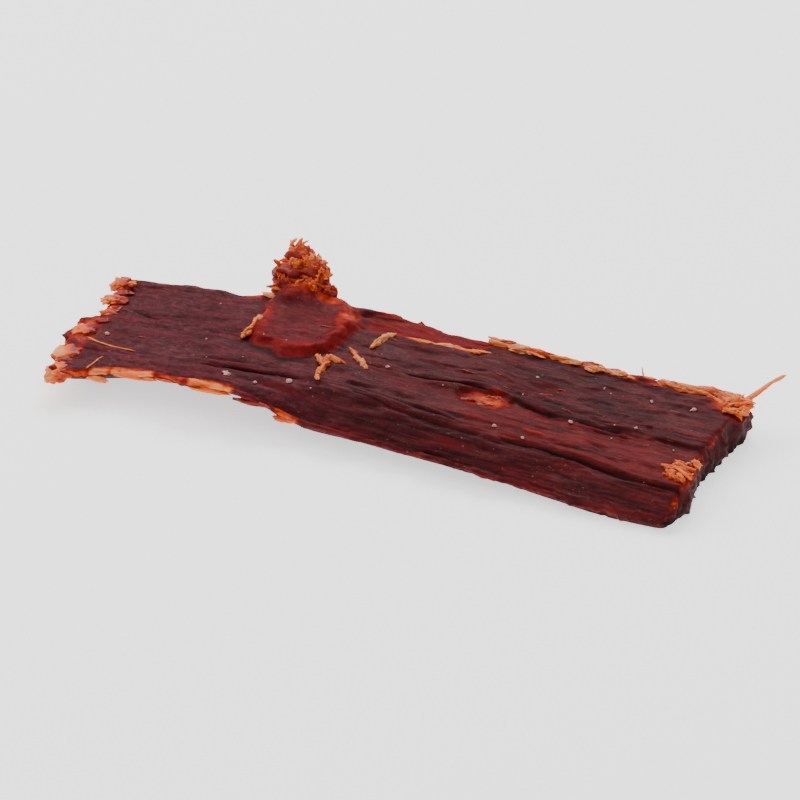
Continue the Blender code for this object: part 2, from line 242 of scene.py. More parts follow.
# %% [markdown]
# ## The strip's form
#
# The top rises from low torn ends to a crown in the middle, because drying arches the meat. Every part of
# the form is a small function that adds to that height or takes from it: fibre bundles, splits along the
# creases, the steps between bands, the torn leaf, the hollow beside it and the shoulder that rolls down
# to the near edge.

# %% Heights, in mm
END_CROWDING = 0.5
BAND_CROWDING = 0.4
EDGE_FALL = 0.7
EDGE_ROUND = 1.1
END_FALL = 0.6
END_ROUND = 1.1
UNDER_RISE = 0.7
WALL_BULGE = 0.35
LEAST_THICKNESS = 1.0
NEAR_RIM_LIFT = 3.3
NEAR_RIM_WIDTH = 6.0
LEFT_LIP_LIFT = 2.9
LEFT_LIP_WIDTH = 6.0
SHOULDER_START = -21
SHOULDER_FULL = -5
SHOULDER_FOOT = 1.9
NEAR_SPLITS = ((-24, -13, 0.4), (-3.5, 18, 0.6), (19.5, 53, 0.7))
MIDDLE_SPLITS = ((2.5, 16, 0.6), (17.5, 27, 0.5), (28.5, 36, 0.6), (39, 53, 0.35))
SPLIT_FADE = 1.6
SPLIT_WIDTH = 0.3
NEAR_STEP = (-20, 4, 0.55)
MIDDLE_STEP = (0, 18, 0.35)
STEP_WIDTH = 0.6
CREASES = ((near_crease, NEAR_SPLITS, NEAR_STEP), (middle_crease, MIDDLE_SPLITS, MIDDLE_STEP))
LEAF = ((-13.9, 3.2), (7.2, 8.4), 1.25)
LEAF_LIP_PLACE = 0.8
LEAF_LIP_WIDTH = 0.12
HOLLOW = ((2.4, 7.2), (10.8, 2.8), -0.45)
OVAL_RAGGEDNESS = 0.2
OVAL_RAG_LENGTH = 3
POCKET = ((15.4, -5.3), (4.4, 1.9), -0.7)
BUNDLE_WIDTH = 2.4
BUNDLE_LENGTH = 34
BUNDLE_HEIGHT = 0.6
SWELL_HEIGHT = 0.35
SWELL_LENGTH = 17
FRAY = 1.3
FRAY_REACH = 3.0
RIGHT_FRAY = 0.8
RAG = 0.9
FAR_RAG = 0.45
RAG_LENGTH = 3.4
RAG_REACH = 1.0
TAB_PLACE = -16.8
TAB_HALF_WIDTH = 3.9
TAB_RISE = 1.9
TAB_UNDER_RISE = 1.8
TAB_REACH = 1.8
TAB_START = 4.6
FAR_RIDGE_HEIGHT = 0.6
FAR_RIDGE_WIDTH = 0.65
FAR_RIDGE_INSET = 0.5

# Narrow splits that the creases don't cover: points of each line in plan, and its depth.
FINE_SPLITS = (
    (((-39.6, 1.8), (-35.5, 0.2), (-33.8, -0.1)), 0.4),
    (((-22.4, -8.8), (-19.4, -9.0), (-14.1, -9.2), (-9.9, -9.5)), 0.5),
    (((-4.9, -8.4), (-1.8, -8.6), (1.4, -8.7)), 0.5),
    (((-1.3, -9.2), (5.1, -10.6), (11.5, -11.2), (15.5, -12.2)), 0.45),
    (((3.1, -9.0), (6.6, -9.7), (11.0, -10.4), (14.5, -10.9)), 0.45),
    (((26.6, -2.4), (28.6, -1.2), (30.6, -0.2)), 0.3),
    (((28.2, -0.4), (30.4, -1.4), (33.2, -2.2)), 0.3),
    (((-30.0, 2.4), (-26.5, 2.0), (-23.4, 1.9)), 0.2),
    (((-33.0, -5.2), (-28.0, -5.6), (-24.5, -5.5)), 0.2),
)
SHORT_SPLITS = 90
SHORT_SPLIT_LENGTHS = (2.5, 9.0)
SHORT_SPLIT_DEPTHS = (0.1, 0.32)
FINE_SPLIT_WIDTH = 0.16
FINE_SPLIT_SEED = 11
BIN_LENGTH = 2.0


def mix(a, b, share):
    return a + (b - a) * share


def ease(low, high, at):
    """0 below low, 1 above high, and smooth between them."""
    u = min(max((at - low) / (high - low), 0.0), 1.0)
    return u * u * (3 - 2 * u)


def round_off(distance, reach):
    """1 at an edge, falling to 0 at this reach from it, on a quarter of a circle."""
    u = min(max(distance / reach, 0.0), 1.0)
    return 1 - math.sqrt(1 - (1 - u) ** 2)


def lift_off(distance, reach):
    """1 at an edge and for a while from it, falling to 0 at this reach, as a thin lip lifts off the table."""
    u = min(max(distance / reach, 0.0), 1.0)
    return (1 - u * u) ** 2


def crowd(share, amount):
    """Draws the loops of a range that runs from 0 to 1 towards both of its ends."""
    return share - amount * math.sin(2 * math.pi * share) / (2 * math.pi)


def bell(distance, width):
    """1 on a line, falling off to both of its sides over this width."""
    return math.exp(-((distance / width) ** 2))


def wobble(x, y, z):
    """Smooth noise from about -1 to 1."""
    return noise.noise(Vector((x, y, z)))


def bundle_relief(x, y, side):
    """Height of the fibre bundles: rounded backs with sharp valleys, wandering along the grain."""
    wander = BUNDLE_WIDTH * wobble(x / BUNDLE_LENGTH, y / (6 * BUNDLE_WIDTH), side + 4.2)
    back = abs(wobble(x / BUNDLE_LENGTH, (y + wander) / BUNDLE_WIDTH, side))
    swell = wobble(x / SWELL_LENGTH, y / SWELL_LENGTH, side + 9.0)
    return BUNDLE_HEIGHT * (back - 0.3) + SWELL_HEIGHT * swell


def oval_distance(x, y, oval, seed):
    """Distance from an oval's middle, where 1 is its ragged outline."""
    (centre_x, centre_y), (half_x, half_y), _ = oval
    away = math.hypot((x - centre_x) / half_x, (y - centre_y) / half_y)
    return away + OVAL_RAGGEDNESS * wobble(x / OVAL_RAG_LENGTH, y / OVAL_RAG_LENGTH, seed)


def oval_patch(x, y, oval, seed):
    return 1 - ease(0.88, 1.06, oval_distance(x, y, oval, seed))


def opening(x, splits):
    """How deep the splits along a crease are at this place."""
    depth = 0.0
    for start, end, split_depth in splits:
        depth += split_depth * ease(start, start + SPLIT_FADE, x) * (1 - ease(end - SPLIT_FADE, end, x))
    return depth


def crease_drop(x, y, line, splits, step):
    offset = y - line(x)
    start, full, height = step
    step_down = height * ease(start, full, x) * (1 - ease(-STEP_WIDTH, STEP_WIDTH, offset))
    return opening(x, splits) * math.exp(-abs(offset) / SPLIT_WIDTH) + step_down


def tab_share(x, y):
    """0 away from the leaf's far end, 1 where it is turned up the most."""
    along = (x - TAB_PLACE) / TAB_HALF_WIDTH
    return math.exp(-(along**4)) * ease(TAB_START, far_edge(x), y)


def sort_by_place(splits):
    """For each stretch of the strip, the splits that cross it."""
    bins = {}
    for split in splits:
        for number in range(math.floor(split[0] / BIN_LENGTH), math.floor(split[1] / BIN_LENGTH) + 1):
            bins.setdefault(number, []).append(split)
    return bins


def draw_short_splits(draw):
    """Short splits anywhere on the top, most of them to the right of the leaf."""
    splits = []
    for _ in range(SHORT_SPLITS):
        middle = draw.triangular(-36, 48, 22)
        length = draw.uniform(*SHORT_SPLIT_LENGTHS)
        share = draw.uniform(0.04, 0.96)
        side = mix(near_edge(middle), far_edge(middle), share)
        slope = draw.uniform(-0.05, 0.03)
        line = smooth_line((
            (middle - length / 2, side - slope * length), (middle, side + draw.uniform(-0.15, 0.15)),
            (middle + length / 2, side + slope * length),
        ))
        splits.append((middle - length / 2, middle + length / 2, line, draw.uniform(*SHORT_SPLIT_DEPTHS)))
    return splits


fine_splits = [(points[0][0], points[-1][0], smooth_line(points), depth) for points, depth in FINE_SPLITS]
fine_splits += draw_short_splits(random.Random(FINE_SPLIT_SEED))
split_bins = sort_by_place(fine_splits)


def fine_split_depth(x, y):
    deepest = 0.0
    for start, end, line, depth in split_bins.get(math.floor(x / BIN_LENGTH), ()):
        if start < x < end:
            fade = min(1.5, (end - start) / 3)
            opened = ease(start, start + fade, x) * (1 - ease(end - fade, end, x))
            deepest = max(deepest, depth * opened * math.exp(-abs(y - line(x)) / FINE_SPLIT_WIDTH))
    return deepest


def leaf_distance(x, y):
    return oval_distance(x, y, LEAF, 2.0)


def top_height(x, y, from_ends):
    near, crease, far = near_edge(x), near_crease(x), far_edge(x)
    shoulder = ease(SHOULDER_START, SHOULDER_FULL, x)
    leaf = leaf_distance(x, y)
    height = crown(x) + bundle_relief(x, y, 0.0)
    height -= EDGE_FALL * round_off(far - y, EDGE_ROUND)
    height -= EDGE_FALL * round_off(y - near, EDGE_ROUND) * (1 - shoulder)
    height -= END_FALL * round_off(from_ends, END_ROUND)
    for line, splits, step in CREASES:
        height -= crease_drop(x, y, line, splits, step)
    height -= fine_split_depth(x, y) * ease(1.0, 1.1, leaf)
    swollen = bell(leaf - LEAF_LIP_PLACE, LEAF_LIP_WIDTH)
    height += LEAF[2] * (1 - ease(0.84, 1.05, leaf)) * (0.82 + 0.22 * swollen)
    height += HOLLOW[2] * oval_patch(x, y, HOLLOW, 5.0)
    height += POCKET[2] * oval_patch(x, y, POCKET, 8.0)
    ridge = max(0.0, 0.55 + 0.9 * wobble(x / 2.6, 3.3, 0.7)) * ease(9, 14, x)
    height += FAR_RIDGE_HEIGHT * ridge * bell(far - y - FAR_RIDGE_INSET, FAR_RIDGE_WIDTH)
    height += TAB_RISE * tab_share(x, y)
    if y < crease:
        rolled = ((crease - y) / (crease - near)) ** 1.4
        height -= shoulder * rolled * (height - SHOULDER_FOOT)
    return height


def under_height(x, y, from_left, from_ends):
    near, far = near_edge(x), far_edge(x)
    height = underside(x) + bundle_relief(x, y, 20.0)
    height += UNDER_RISE * (round_off(far - y, EDGE_ROUND) + round_off(from_ends, END_ROUND))
    height += UNDER_RISE * round_off(y - near, EDGE_ROUND)
    thin = 1 - ease(SHOULDER_START, SHOULDER_FULL, x)
    near_lift = NEAR_RIM_LIFT * thin * lift_off(y - near, NEAR_RIM_WIDTH)
    height += max(near_lift, LEFT_LIP_LIFT * lift_off(from_left, LEFT_LIP_WIDTH))
    height += TAB_UNDER_RISE * tab_share(x, y)
    return max(height, 0.0)


def surface_height(x, y):
    """Height of the top at a place of the plan that is well inside it."""
    return top_height(x, y, END_ROUND)


print("top at the middle in mm:", round(surface_height(0, 0), 2))

# %% [markdown]
# ## From a lattice to the strip
#
# The body starts as a cube. In edit mode, the edges of one direction at a time are subdivided, which cuts
# its faces into a fine lattice. Each point then moves to the place that the functions above give for its
# share of the length, the width and the thickness. The edges get a finer fringe here than a coarse model
# can hold.

# %% The body's place for each lattice point
FRINGE = 0.4
FRINGE_LENGTH = 0.9
FRINGE_REACH = 0.6
FINE_FRAY = 0.45
FINE_FRAY_WIDTH = 0.7
FINE_FRAY_REACH = 1.2
END_ROUGHNESS = 0.42
GRAIN_WIDTHS = (4.6, 8.2, 12.6)


def band_and_share(across):
    """Which band a place across the strip is in, and its share of that band's width."""
    loop = across * sum(BAND_SHARES)
    for band, loops in enumerate(BAND_SHARES):
        if loop <= loops or band == len(BAND_SHARES) - 1:
            return band, crowd(min(loop / loops, 1.0), BAND_CROWDING)
        loop -= loops


def grain_place(across):
    """How far across a lattice point lies, in mm, counted in bands of even width."""
    band, share = band_and_share(across)
    return sum(GRAIN_WIDTHS[:band]) + share * GRAIN_WIDTHS[band]


def plan_place(along, across, below_top):
    left, right = left_end(across), right_end(across)
    x = mix(left, right, crowd(along, END_CROWDING))
    band, share = band_and_share(across)
    y = mix(BAND_LINES[band](x), BAND_LINES[band + 1](x), share)
    for line, side, rag in ((near_edge, -1, RAG), (far_edge, 1, FAR_RAG)):
        inward = abs(y - line(x))
        y += side * rag * wobble(x / RAG_LENGTH, 2.6 * side, 6.3) * math.exp(-inward / RAG_REACH)
        y += side * FRINGE * wobble(x / FRINGE_LENGTH, 5.2 * side, 1.3) * math.exp(-inward / FRINGE_REACH)
    y += TAB_REACH * tab_share(x, y)
    for amount, away, seeds in ((FRAY, x - left, (0.5, 3.1)), (RIGHT_FRAY, right - x, (8.5, 1.7))):
        bundle_ends = wobble(y / BUNDLE_WIDTH, seeds[0] + 1.1 * below_top, seeds[1])
        fibre_ends = wobble(y / FINE_FRAY_WIDTH, seeds[1] + 3.5 * below_top, seeds[0])
        fray = amount * bundle_ends * math.exp(-away / FRAY_REACH)
        fray += FINE_FRAY * fibre_ends * math.exp(-away / FINE_FRAY_REACH)
        x += fray
    return x, y


def strip_place(along, across, through_share):
    x, y = plan_place(along, across, 1 - through_share)
    from_left = max(x - left_end(across), 0.0)
    from_ends = min(from_left, max(right_end(across) - x, 0.0))
    low = under_height(x, y, from_left, from_ends)
    high = max(top_height(x, y, from_ends), low + LEAST_THICKNESS)
    bulge = WALL_BULGE * math.sin(math.pi * through_share)
    x += bulge * ((along == 1) - (along == 0))
    y += bulge * ((across == 1) - (across == 0))
    height = mix(low, high, through_share)
    if along in (0, 1):
        torn_here = wobble(y / 1.3, height / 1.0, 5.0 * along) + 0.35 * wobble(y / 0.5, height / 0.5, 9.0)
        x += END_ROUGHNESS * torn_here
    return Vector((x, y, height))


# %% The body's lattice
# Subdivide makes at most 100 cuts at a time, so the long directions are cut in two rounds.
LOOP_ROUNDS = ((26, 10), (14, 10), (9,))
LEAST_EDGE = 0.001


def subdivide_along(piece, axis, loops):
    """Cuts the edges that run along one axis into this many."""
    bpy.ops.object.mode_set(mode="EDIT")
    bpy.ops.mesh.select_mode(type="EDGE")
    bpy.ops.mesh.select_all(action="DESELECT")
    bpy.ops.object.mode_set(mode="OBJECT")
    points = piece.data.vertices
    for edge in piece.data.edges:
        start, end = (points[i].co for i in edge.vertices)
        edge.select = abs(start[axis] - end[axis]) > LEAST_EDGE
    bpy.ops.object.mode_set(mode="EDIT")
    bpy.ops.mesh.subdivide(number_cuts=loops - 1)
    bpy.ops.object.mode_set(mode="OBJECT")


deselect_everything()
bpy.ops.mesh.primitive_cube_add(size=1.0)
body = bpy.context.active_object
body.name = "jerky_body"
for axis, rounds in enumerate(LOOP_ROUNDS):
    for loops in rounds:
        subdivide_along(body, axis, loops)
shares = [tuple(round(value + 0.5, 6) for value in vertex.co) for vertex in body.data.vertices]
places = [strip_place(*share) for share in shares]
for vertex, place in zip(body.data.vertices, places):
    vertex.co = place
body.data.update()
print("body points:", len(body.data.vertices))

# %% [markdown]
# ## Fibres
#
# Beef's muscle fibres lie in bundles about a millimetre across that run the whole length of a strip.
# Noise that is stretched along the grain and folded at zero gives their rounded backs with sharp valleys
# between. Each point moves along its own normal, so the fibres run round the edges too.

# %% Fine relief along the normals, in mm
FIBRE_WIDTH = 0.7
FIBRE_LENGTH = 10
FIBRE_HEIGHT = 0.28
HAIR_WIDTH = 0.36
HAIR_LENGTH = 4
HAIR_HEIGHT = 0.12
GRIT_SIZE = 0.6
GRIT_HEIGHT = 0.15
LUMP_SIZE = 1.9
LUMP_HEIGHT = 0.22
PLAIN_UNDER = 0.35


def fibre_back(x, grain, z):
    """0 in the valleys between fibres, about 0.6 on their backs."""
    wander = 0.9 * wobble(x / 9, grain / 3, 7.7)
    return abs(wobble(x / FIBRE_LENGTH, (grain + wander) / FIBRE_WIDTH, z / (2 * FIBRE_WIDTH)))


def roughness_here(x, y):
    """How strongly the fibres stand out: little on the leaf and at the left, most between the creases."""
    on_leaf = 1 - ease(0.9, 1.1, leaf_distance(x, y))
    return mix(mix(0.45, 0.85, ease(-20, 2, x)), 0.2, on_leaf)


def fine_relief(place, grain, back):
    x, y, z = place
    fibres = FIBRE_HEIGHT * (back - 0.28)
    hairs = HAIR_HEIGHT * wobble(x / HAIR_LENGTH, grain / HAIR_WIDTH, z / HAIR_WIDTH + 3.3)
    grit = GRIT_HEIGHT * wobble(x / (1.6 * GRIT_SIZE), y / GRIT_SIZE, z / GRIT_SIZE + 8.1)
    lumps = LUMP_HEIGHT * wobble(x / (1.7 * LUMP_SIZE), y / LUMP_SIZE, z / LUMP_SIZE + 1.9)
    patchy = 0.4 + max(0.0, wobble(x / 7, y / 5, 2.2)) * 1.4
    return roughness_here(x, y) * (fibres + hairs) + lumps + grit * patchy


grains = [grain_place(share[1]) for share in shares]
backs = [fibre_back(place.x, grain, place.z) for place, grain in zip(places, grains)]
normals = [vertex.normal.copy() for vertex in body.data.vertices]
lattice_points = zip(body.data.vertices, places, normals, shares, grains, backs)
for vertex, place, normal, share, grain, back in lattice_points:
    strength = PLAIN_UNDER if share[2] == 0 else 1.0
    moved = place + normal * fine_relief(place, grain, back) * strength
    moved.z = max(moved.z, 0.0)
    vertex.co = (moved - PLAN_MIDDLE) * MM
body.data.update()
low_corner = [round(min(v.co[axis] for v in body.data.vertices) / MM, 1) for axis in range(3)]
high_corner = [round(max(v.co[axis] for v in body.data.vertices) / MM, 1) for axis in range(3)]
print("body box in mm:", low_corner, high_corner)

# %% [markdown]
# ## Stains, painted glow and painted shade
#
# Dried meat is not one colour. Its crust is a dark mauve brown and fresh tears are red. The orange of
# thin edges that light comes through is painted glow, and the splits, the valleys and the hidden sides
# get painted shade, nearly black. Four numbers on each point say how much of each there is. The
# material reads them by name.

# %% Stain, painted glow and painted shade values on the body's points
# Stretches of the near and far edges with painted glow: start and end in mm, and strength.
NEAR_RIM_PATCHES = (
    (-43, -39.5, 0.45), (-39.5, -36.8, 0.95), (-36.6, -30.4, 1.0), (-30, -25.5, 0.42), (-25, -18.6, 0.95),
    (-12.2, -8.6, 0.6),
)
FAR_RIM_PATCHES = (
    (-41, -34, 0.15), (-24.5, -19, 0.7), (13, 17.5, 1.0), (17.5, 22.5, 0.7), (22.5, 29.5, 1.0),
    (29.5, 38, 0.82), (38, 52, 0.95),
)
INNER_RIM = smooth_line((
    (-2.1, 3.7), (-0.8, 4.8), (2.7, 4.4), (5.0, 4.6), (7.6, 4.5), (10.8, 4.6), (14, 6.4),
))
PATCH_FADE = 0.9

# Spots of wet red meat, and places where light glows through: x, y, half length, half width and strength.
RED_SPOTS = ((22.3, -10.9, 2.4, 0.9, 1.0), (25.5, -11.7, 3.0, 0.8, 1.0))
GLOWS = (
    (-8.4, 5.4, 1.5, 4.2, 0.5), (-20.0, 3.0, 1.6, 2.6, 0.42), (-16.4, 9.2, 4.2, 2.4, 0.46),
    (-12.0, 8.6, 3.4, 1.6, 0.4), (15.6, -5.0, 3.0, 1.7, 0.56), (-16.0, -4.0, 3.0, 1.0, 0.22),
    (47.4, 5.8, 3.0, 2.6, 0.5), (45.4, -11.8, 2.2, 2.6, 0.45), (-43.4, -4.0, 1.8, 9.0, 0.4),
    (24.0, -10.6, 3.0, 0.6, 0.3), (2.5, 7.6, 8.0, 1.5, 0.24),
)

# How wide each edge's painted glow is, in mm, and the stretch of the far edge that borders the hollow.
NEAR_GLOW_WIDTH = 0.6
FAR_GLOW_WIDTH = 1.3
HOLLOW_GLOW_WIDTH = 0.7
INNER_GLOW_WIDTH = 0.45
LEFT_GLOW_REACH = 1.3
RIGHT_GLOW_REACH = 0.5
CREASE_SHADE_REACH = 0.35
HOLLOW_EDGE = ((-6, 13, 1.0),)
INNER_EDGE = ((-2, 11, 1.0),)


def patch_strength(x, patches):
    strongest = 0.0
    for start, end, strength in patches:
        rise = ease(start - PATCH_FADE, start + PATCH_FADE, x)
        strongest = max(strongest, strength * rise * (1 - ease(end - PATCH_FADE, end + PATCH_FADE, x)))
    return strongest


def strongest_spot(x, y, spots):
    return max(
        strength * math.exp(-(((x - spot_x) / long) ** 2) - ((y - spot_y) / wide) ** 2)
        for spot_x, spot_y, long, wide, strength in spots
    )


def painted_rim_glow(x, y, z, share):
    """Painted glow and highlights: orange where light comes through or catches a thin or torn edge."""
    along, across, through_share = share
    near = patch_strength(x, NEAR_RIM_PATCHES) * bell(max(y - near_edge(x), 0.0), NEAR_GLOW_WIDTH)
    near *= ease(0.2, 0.5, through_share)
    from_far = max(far_edge(x) - y, 0.0)
    far = patch_strength(x, FAR_RIM_PATCHES) * bell(from_far, FAR_GLOW_WIDTH)
    hollow_edge = 0.42 * patch_strength(x, HOLLOW_EDGE) * bell(from_far, HOLLOW_GLOW_WIDTH)
    far = max(far, hollow_edge) * ease(0.75, 1.0, through_share + 0.12 * wobble(x / 1.3, 7.2, 2.4))
    left = 0.65 * math.exp(-max(x - left_end(across), 0.0) / LEFT_GLOW_REACH) * ease(0.5, 1.0, through_share)
    left *= 0.7 + 0.9 * wobble(0.7, y / 1.7, 3.8)
    right = 0.3 * math.exp(-max(right_end(across) - x, 0.0) / RIGHT_GLOW_REACH)
    right *= ease(0.8, 1.0, through_share)
    inner = 0.85 * patch_strength(x, INNER_EDGE) * bell(y - INNER_RIM(x), INNER_GLOW_WIDTH)
    glow = strongest_spot(x, y, GLOWS) * ease(0.5, 1.0, through_share)
    return max(near, far, left, right, inner, glow) * (0.9 + 0.7 * wobble(x / 1.6, (y + z) / 0.7, 4.4))


def flesh_stain(x, y, share):
    """Red where the meat was torn open, or is wetter and thinner."""
    leaf = leaf_distance(x, y)
    leaf_edge = ease(0.56, 0.80, leaf) * (1 - ease(1.02, 1.08, leaf)) * (1 - ease(4.0, 8.0, y) * (x < -14))
    on_leaf = 0.3 * (1 - ease(0.9, 1.05, leaf))
    hollow = 1.2 * ease(-0.1, 0.5, y - INNER_RIM(x)) * ease(-7, -4, x) * (1 - ease(11, 14, x))
    if share[1] == 1:
        hollow *= ease(0.25, 0.95, share[2] + 0.35 * wobble(x / 3.1, share[2], 6.1)) * (1 - ease(8, 13, x))
    pocket = oval_patch(x, y, POCKET, 8.0)
    middle_band = ease(4, 18, x) * ease(-0.6, 0.8, y - near_crease(x))
    middle_band *= 1 - ease(-0.8, 0.4, y - middle_crease(x))
    low_wall = 0.5 * (share[1] == 0) + 0.4 * (share[0] == 1) + 0.35 * (share[2] == 0)
    streaky = 0.75 + 0.9 * wobble(x / 9, y / 0.8, 5.9)
    uneven = 0.95 + 0.35 * wobble(x / 1.5, y / 1.1, 6.6)
    torn = max(1.1 * leaf_edge, on_leaf, hollow, pocket, 0.9 * strongest_spot(x, y, RED_SPOTS)) * uneven
    return max(torn, 0.55 * middle_band * (0.5 + 0.5 * streaky), low_wall * streaky)


def painted_shade(x, y, share, back):
    """Painted shade in splits, valleys and hidden sides, and a painted shadow under the leaf's near edge."""
    split = max(
        1.3 * opening(x, splits) * math.exp(-abs(y - line(x)) / CREASE_SHADE_REACH)
        for line, splits, _ in CREASES
    )
    leaf = leaf_distance(x, y)
    under_leaf = 0.95 * ease(1.01, 1.05, leaf) * (1 - ease(1.07, 1.16, leaf)) * (1 - ease(0.0, 4.0, y))
    valley = 0.5 * (1 - ease(0.0, 0.10, back)) * roughness_here(x, y) * ease(1.0, 1.1, leaf)
    fine = 2.6 * fine_split_depth(x, y) * ease(1.0, 1.1, leaf)
    hidden = 0.45 * (1 - ease(0.0, 0.5, share[2]))
    hidden += 0.6 * (share[0] == 1) * (1 - ease(0.7, 1.0, share[2]))
    return max(split, under_leaf, valley, fine, hidden)


def tone_and_painted_shade(x, y, share):
    """Mauve at the left to brown at the right, and painted shade down the near band, the sides and below."""
    # Painted shade: browner down the near band and on the sides and underside.
    near_band_shade = 0.3 * ease(-0.5, 1.5, near_crease(x) - y) * ease(-12, 4, x)
    return 0.5 * ease(-30, 30, x) + near_band_shade + 0.25 * (share[2] < 1)


def store_value(piece, name, values):
    attribute = piece.data.attributes.new(name, "FLOAT", "POINT")
    attribute.data.foreach_set("value", [min(max(value, 0.0), 1.0) for value in values])


rows = list(zip(places, shares, backs))
# rim holds painted glow, shade holds painted shade, and depth the crust's tone with painted shade on its
# sides.
store_value(body, "rim", [painted_rim_glow(p.x, p.y, p.z, share) for p, share, _ in rows])
store_value(body, "flesh", [flesh_stain(p.x, p.y, share) for p, share, _ in rows])
store_value(body, "shade", [painted_shade(p.x, p.y, share, back) for p, share, back in rows])
store_value(body, "depth", [tone_and_painted_shade(p.x, p.y, share) for p, share, _ in rows])
grain_attribute = body.data.attributes.new("grain", "FLOAT_VECTOR", "POINT")
grain_attribute.data.foreach_set(
    "vector", [value * MM for place, grain in zip(places, grains) for value in (place.x, grain, place.z)]
)
print("stains_and_painted_light:", [attribute.name for attribute in body.data.attributes][-5:])

# %% [markdown]
# ## The crust's material
#
# The crust of air-dried beef is muscle that was cured with salt and has lost its water. It is satin,
# neither wet nor chalky, and its grain shows as long thin streaks. Its mauve is partly its own colour and
# partly painted sheen, the soft reflection of the bright room on its top. Light enters it a little way and
# comes out red. The streaks are noise that is stretched along the grain to the length of the fibres. Each
# point carries its place along and across the grain, so the streaks bend with the bands instead of running
# off them.

# %% Dried beef
# The mauve of these colours is partly painted sheen, the reflection of the bright room on the top.
CRUST_DARK = srgb("#26060b")
CRUST_MIDDLE = srgb("#4a161e")
CRUST_LIGHT = srgb("#6e303a")
CRUST_BROWN_DARK = srgb("#1c0406")
CRUST_BROWN = srgb("#431519")
CRUST_BROWN_LIGHT = srgb("#64292b")
STREAK_RED = srgb("#740a14")
LINE_BLACK = srgb("#160203")
FLESH_DARK = srgb("#320103")
FLESH_LIGHT = srgb("#921516")
# Painted shade for the splits, the fibre valleys and the hidden sides.
PAINTED_SHADE_BLACK = srgb("#1c0203")
GLINT = srgb("#a87470")
# Painted glow and highlights of thin edges, from deep red to pale orange.
RIM_GLOW_COLOURS = ((0.12, "#5c0808"), (0.34, "#961c10"), (0.54, "#cc4816"), (0.74, "#ee7830"), (1.0, "#f29058"))
SPECULAR_LEVEL = 0.09


def add_node(tree, kind, pairs=(), **settings):
    """Adds a node, sets its settings, and feeds its sockets by (socket, value or output) pairs."""
    node = tree.nodes.new(kind)
    for name, value in settings.items():
        setattr(node, name, value)
    feed(tree, node, pairs)
    return node


def calculate(tree, operation, *values):
    """What a Math node makes of numbers and other nodes' outputs."""
    return add_node(tree, "ShaderNodeMath", enumerate(values), operation=operation).outputs["Value"]


def stretched_noise(tree, lengths_mm, detail, offset=0.0, on_grain=False, distortion=0.0):
    """Noise whose features are this many mm long along X, Y and Z, or along and across the grain."""
    if on_grain:
        coordinates = add_node(tree, "ShaderNodeAttribute", attribute_name="grain").outputs["Vector"]
    else:
        coordinates = add_node(tree, "ShaderNodeTexCoord").outputs["Object"]
    scale = tuple(1 / (length * MM) for length in lengths_mm)
    mapping = add_node(
        tree, "ShaderNodeMapping",
        [("Vector", coordinates), ("Scale", scale), ("Location", (offset, offset, offset))],
    )
    return add_node(tree, "ShaderNodeTexNoise", [
        ("Vector", mapping.outputs["Vector"]), ("Scale", 1.0), ("Detail", detail), ("Roughness", 0.6),
        ("Distortion", distortion),
    ]).outputs["Fac"]


def add_bump(tree, shader, height, strength, distance_mm):
    pairs = [("Height", height), ("Strength", strength), ("Distance", distance_mm * MM)]
    bump = add_node(tree, "ShaderNodeBump", pairs)
    tree.links.new(bump.outputs["Normal"], shader.inputs["Normal"])


def ramp(tree, value, stops):
    """Turns a value into a colour, or a grey, by (place, colour) stops."""
    node = add_node(tree, "ShaderNodeValToRGB", [("Fac", value)])
    elements = node.color_ramp.elements
    while len(elements) < len(stops):
        elements.new(0.5)
    for element, (place, colour) in zip(elements, stops):
        element.position = place
        element.color = colour
    return node.outputs["Color"]


def mix_colours(tree, share, first, second, blend="MIX"):
    node = tree.nodes.new("ShaderNodeMix")
    node.data_type = "RGBA"
    node.blend_type = blend
    for socket, value in (("Factor_Float", share), ("A_Color", first), ("B_Color", second)):
        target = next(entry for entry in node.inputs if entry.identifier == socket)
        if isinstance(value, bpy.types.NodeSocket):
            tree.links.new(value, target)
        else:
            target.default_value = value
    return next(entry for entry in node.outputs if entry.identifier == "Result_Color")


def stain_and_painted_light(tree, name):
    return add_node(tree, "ShaderNodeAttribute", attribute_name=name).outputs["Fac"]


def grey(value):
    return (value, value, value, 1.0)


def mottled_colour(tree, tone, mottle, colours):
    """Picks a colour on a scale by a tone that noise makes a little uneven."""
    uneven = calculate(tree, "MULTIPLY_ADD", mottle, 0.5, tone)
    centred = calculate(tree, "SUBTRACT", uneven, 0.25)
    return ramp(tree, centred, [(place, srgb(code)) for place, code in colours])


